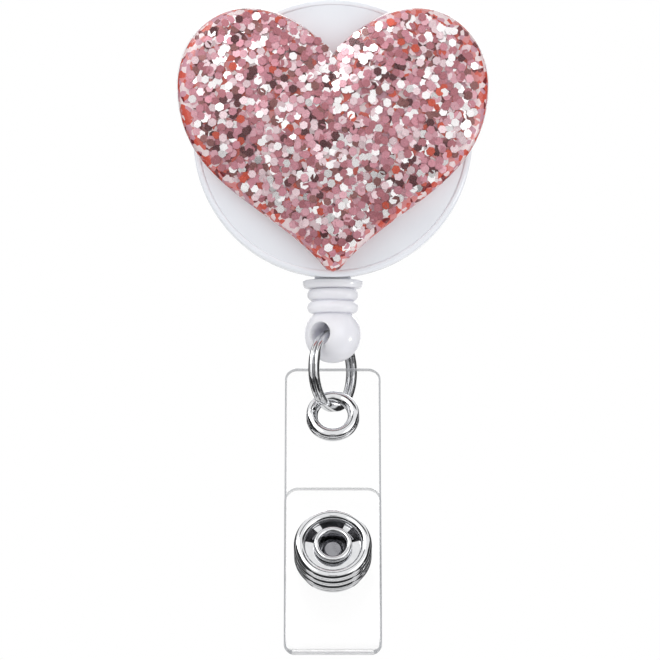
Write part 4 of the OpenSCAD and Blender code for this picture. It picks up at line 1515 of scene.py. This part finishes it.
        # Painted shade: the stud, which sits inside the socket, gets the darker plate.
        dress(stud, Body.STRAP, Slot.CHROME, "snap_stud", finish=PAINTED_SHADE_PLATE)
        profile = [(0, 0), (flange - cap / 2, 0)]
        profile += arc((flange - cap / 2, -cap / 4), (cap / 2, cap / 4), 60, -60, 8)
        profile += arc((0, -cap / 2), (flange - cap / 2, cap / 2), -20, -90, 14)
        shank = [(0, -lap), (self.post_r, -lap), (self.post_r, head - lap), (0, head - lap)]
        cap_shell = join((lathe(profile), lathe(shank, SMALL_ROUND)))
        dress(make_piece("stud_cap", cap_shell, self.axis), Body.STRAP, Slot.CHROME, "snap_stud_post")


@dataclass
class SpringClip(SubAssembly):
    """The spring clip at the back."""

    wire_d: float = 0.7
    coil_d: float = 3.5
    turns: float = 3.5
    turn_steps: int = 40
    pitch: float = 1.2
    leg: float = 7.0
    base_leg_back: float = -1.2
    knee_up: float = 2.0
    lever_leg_back: float = 6.86
    edge: float = 0.12

    def spring_path(self) -> list[Vector]:
        """Draw the spring's route: a leg on the base jaw, the coil and a leg on the lever.

        Returns:
            The points in order.
        """
        pin, start, r = self.places.pin, -self.turns * self.pitch / 2, self.coil_d / 2
        path = [Vector((start, self.base_leg_back, pin.z + self.leg))]
        for i in range(int(self.turns * self.turn_steps) + 1):
            done = i / self.turn_steps
            a = math.pi + math.tau * done
            path.append(Vector((start + done * self.pitch, pin.y + r * math.cos(a), pin.z + r * math.sin(a))))
        path.append(Vector((-start, pin.y + r, pin.z + self.knee_up)))
        path.append(Vector((-start, self.lever_leg_back, pin.z + self.leg)))
        return path

    def build(self) -> None:
        """Make the spring and dress the jaws and the pin."""
        for name in ("clip_base_jaw", "clip_lever_jaw", "clip_hinge_pin"):
            smooth_node(name, Slot.CLIP, self.edge)
        path = self.spring_path()
        shell = tube(path, wire_section(self.wire_d), (1, 0, 0))
        wire = make_piece("clip_spring_wire", shell, Matrix.Identity(4), ROUNDED_SHARP)
        dress_between(wire, Body.CLIP, Body.LEVER, Slot.SPRING, "clip_torsion_spring")


@dataclass
class Works(SubAssembly):
    """What is inside the case and the fitting."""

    strip_t: float = 0.2
    strip_back: float = 4.65
    strip_front: float = 7.85
    strip_reach: Flat = (2.5, 7.35)
    strip_turns: int = 8
    turn_steps: int = 40
    knot_up: float = 1.682
    knot_r: Flat = (0.9, 0.84)

    def power_strip(self) -> Piece:
        """Make the flat spiral spring, which stops short of the post so that it can turn with the drum.

        Returns:
            The spring.
        """
        steps, (near, far) = self.strip_turns * self.turn_steps, self.strip_reach
        middle, high = (self.strip_back + self.strip_front) / 2, (self.strip_front - self.strip_back) / 2
        path = []
        for i in range(steps + 1):
            reach, a = near + (far - near) * i / steps, math.tau * self.strip_turns * i / steps
            path.append(Vector((reach * math.cos(a), reach * math.sin(a), middle)))
        half = self.strip_t / 2
        section = [(half, high), (-half, high), (-half, -high), (half, -high)]
        return make_piece("power_strip", tube(path, section, (0, 0, 1)), self.places.reel, ROUNDED_SHARP)

    def build(self) -> None:
        """Make the spring and the knot, and dress the other inside pieces of the frame."""
        dress(self.power_strip(), Body.DRUM, Slot.SPRING, "power_spring")
        spot = self.places.on_cord(self.places.ball_z + self.knot_up)
        knot = turned("knot_lump", arc((0, 0), self.knot_r, -90, 90, 24), spot, SMALL_ROUND)
        dress(knot, Body.CORD, Slot.CORD, "cord_knot")
        smooth_node("spool", Slot.SPOOL)
        smooth_node("cord_winding", Slot.CORD)
        smooth_node("cord_run", Slot.CORD)


@dataclass
class Studio:
    """The camera, the lamps, the floor and the dark cards that the metal mirrors, in metres."""

    view: float = 75.4 * MM
    far: float = 0.6
    below: float = 4.5
    aim: Point = (-0.32 * MM, -11.4 * MM, -10.15 * MM)
    floor_drop: float = 0.9
    floor_half: float = 8.0
    ambient: float = 0.73
    lamps: tuple[tuple[str, Point, Flat, float], ...] = (
        ("key", (-0.5, -0.75, 0.6), (0.7, 0.7), 3.2),
        ("fill", (0.7, -0.7, 0.1), (0.8, 0.8), 1.3),
        ("back", (0.1, 0.8, 0.6), (0.8, 0.8), 4.5),
        ("low", (-0.1, -0.7, -0.55), (0.6, 0.6), 0.6),
        ("spot", (0.78, -0.14, -0.22), (0.14, 0.14), 1.2),
        ("strip", (-0.72, -0.36, 0.25), (0.06, 0.8), 0.9),
    )
    cards: tuple[tuple[str, Point, Flat], ...] = (
        ("front_card", (0.0, -0.75, -0.08), (0.16, 0.10)),
        ("low_card", (0.0, -0.5, -0.48), (1.3, 0.6)),
        ("high_card", (0.12, -0.32, 0.62), (0.9, 0.16)),
        ("left_card", (-0.62, -0.3, 0.0), (0.66, 0.9)),
        ("right_card", (0.66, -0.22, 0.0), (0.5, 0.9)),
        ("left_back_card", (-0.62, 0.42, 0.0), (0.8, 1.1)),
        ("right_back_card", (0.62, 0.42, 0.0), (0.8, 1.1)),
    )

    def build(self) -> None:
        """Set up the whole studio."""
        bpy.context.scene.view_settings.view_transform = "Standard"
        self.camera()
        self.world()
        for name, place, size, power in self.lamps:
            self.lamp(name, place, size, power)
        half, low = self.floor_half, -self.floor_drop
        self.panel("floor", [(half * x, half * y, low) for x, y in SQUARE], PaleFloor("pale_floor"))
        for name, place, size in self.cards:
            self.card(name, place, size)

    def camera(self) -> None:
        """Make the camera that looks at the face from a little below."""
        data = bpy.data.cameras.new("camera")
        data.lens = data.sensor_width * self.far / self.view
        camera = link("camera", data)
        e = math.radians(-self.below)
        back = Vector((0, -math.cos(e), math.sin(e)))
        camera.location = Vector(self.aim) + back * self.far
        camera.rotation_euler = (-back).to_track_quat("-Z", "Y").to_euler()
        bpy.context.scene.camera = camera

    def world(self) -> None:
        """Make a world that is white where it is seen and softer where it lights."""
        world = bpy.data.worlds.new("studio")
        world.use_nodes = True
        world.node_tree.nodes.clear()
        graph = Graph(world.node_tree)
        rays = graph.add("ShaderNodeLightPath").outputs
        seen = graph.larger(rays["Is Camera Ray"], rays["Is Glossy Ray"])
        seen = graph.larger(seen, rays["Is Transmission Ray"])
        strength = graph.span(seen, self.ambient, 1.0, 0.0, 1.0)
        light = graph.out("ShaderNodeBackground", {"Color": (1, 1, 1, 1), "Strength": strength})
        graph.add("ShaderNodeOutputWorld", {"Surface": light})
        bpy.context.scene.world = world

    def lamp(self, name: str, place: Point, size: Flat, power: float) -> None:
        """Make a soft lamp that looks at the object.

        Args:
            name: The lamp's name.
            place: Where it is.
            size: Its width and height.
            power: Its power in watts.
        """
        data = bpy.data.lights.new(name, "AREA")
        data.shape = "RECTANGLE"
        data.size, data.size_y = size
        data.energy = power
        lamp = link(name, data)
        lamp.location = place
        lamp.rotation_euler = (-Vector(place)).to_track_quat("-Z", "Y").to_euler()

    def panel(self, name: str, corners: Sequence[Sequence[float]], finish: Finish) -> Piece:
        """Make a flat panel that isn't part of the object.

        Args:
            name: The panel's name.
            corners: Its four corners.
            finish: Its finish.

        Returns:
            The panel.
        """
        mesh = bpy.data.meshes.new(name)
        mesh.from_pydata(corners, [], [[0, 1, 2, 3]])
        panel = link(name, mesh)
        paint(panel, finish)
        return panel

    def card(self, name: str, place: Point, size: Flat) -> None:
        """Make a dark card that only mirrors see.

        Args:
            name: The card's name.
            place: Its centre.
            size: Its width and height.
        """
        lie = (-Vector(place)).to_track_quat("-Z", "Y").to_matrix()
        corners = [lie @ Vector((x * size[0] / 2, y * size[1] / 2, 0)) + Vector(place) for x, y in SQUARE]
        card = self.panel(name, corners, DARK_CARD)
        card.visible_camera = False
        card.visible_diffuse = False
        card.visible_shadow = False
        card.visible_transmission = False


def main() -> None:
    """Build the studio and the sub-assemblies."""
    logging.basicConfig(level=logging.INFO, format="%(name)s: %(message)s")
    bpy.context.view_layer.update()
    Studio().build()
    places = Places()
    for kind in (CordEnd, ReelCase, GlitterHeart, VinylStrap, PressStud, SpringClip, Works):
        kind(places).build()


if __name__ == "__main__":
    main()
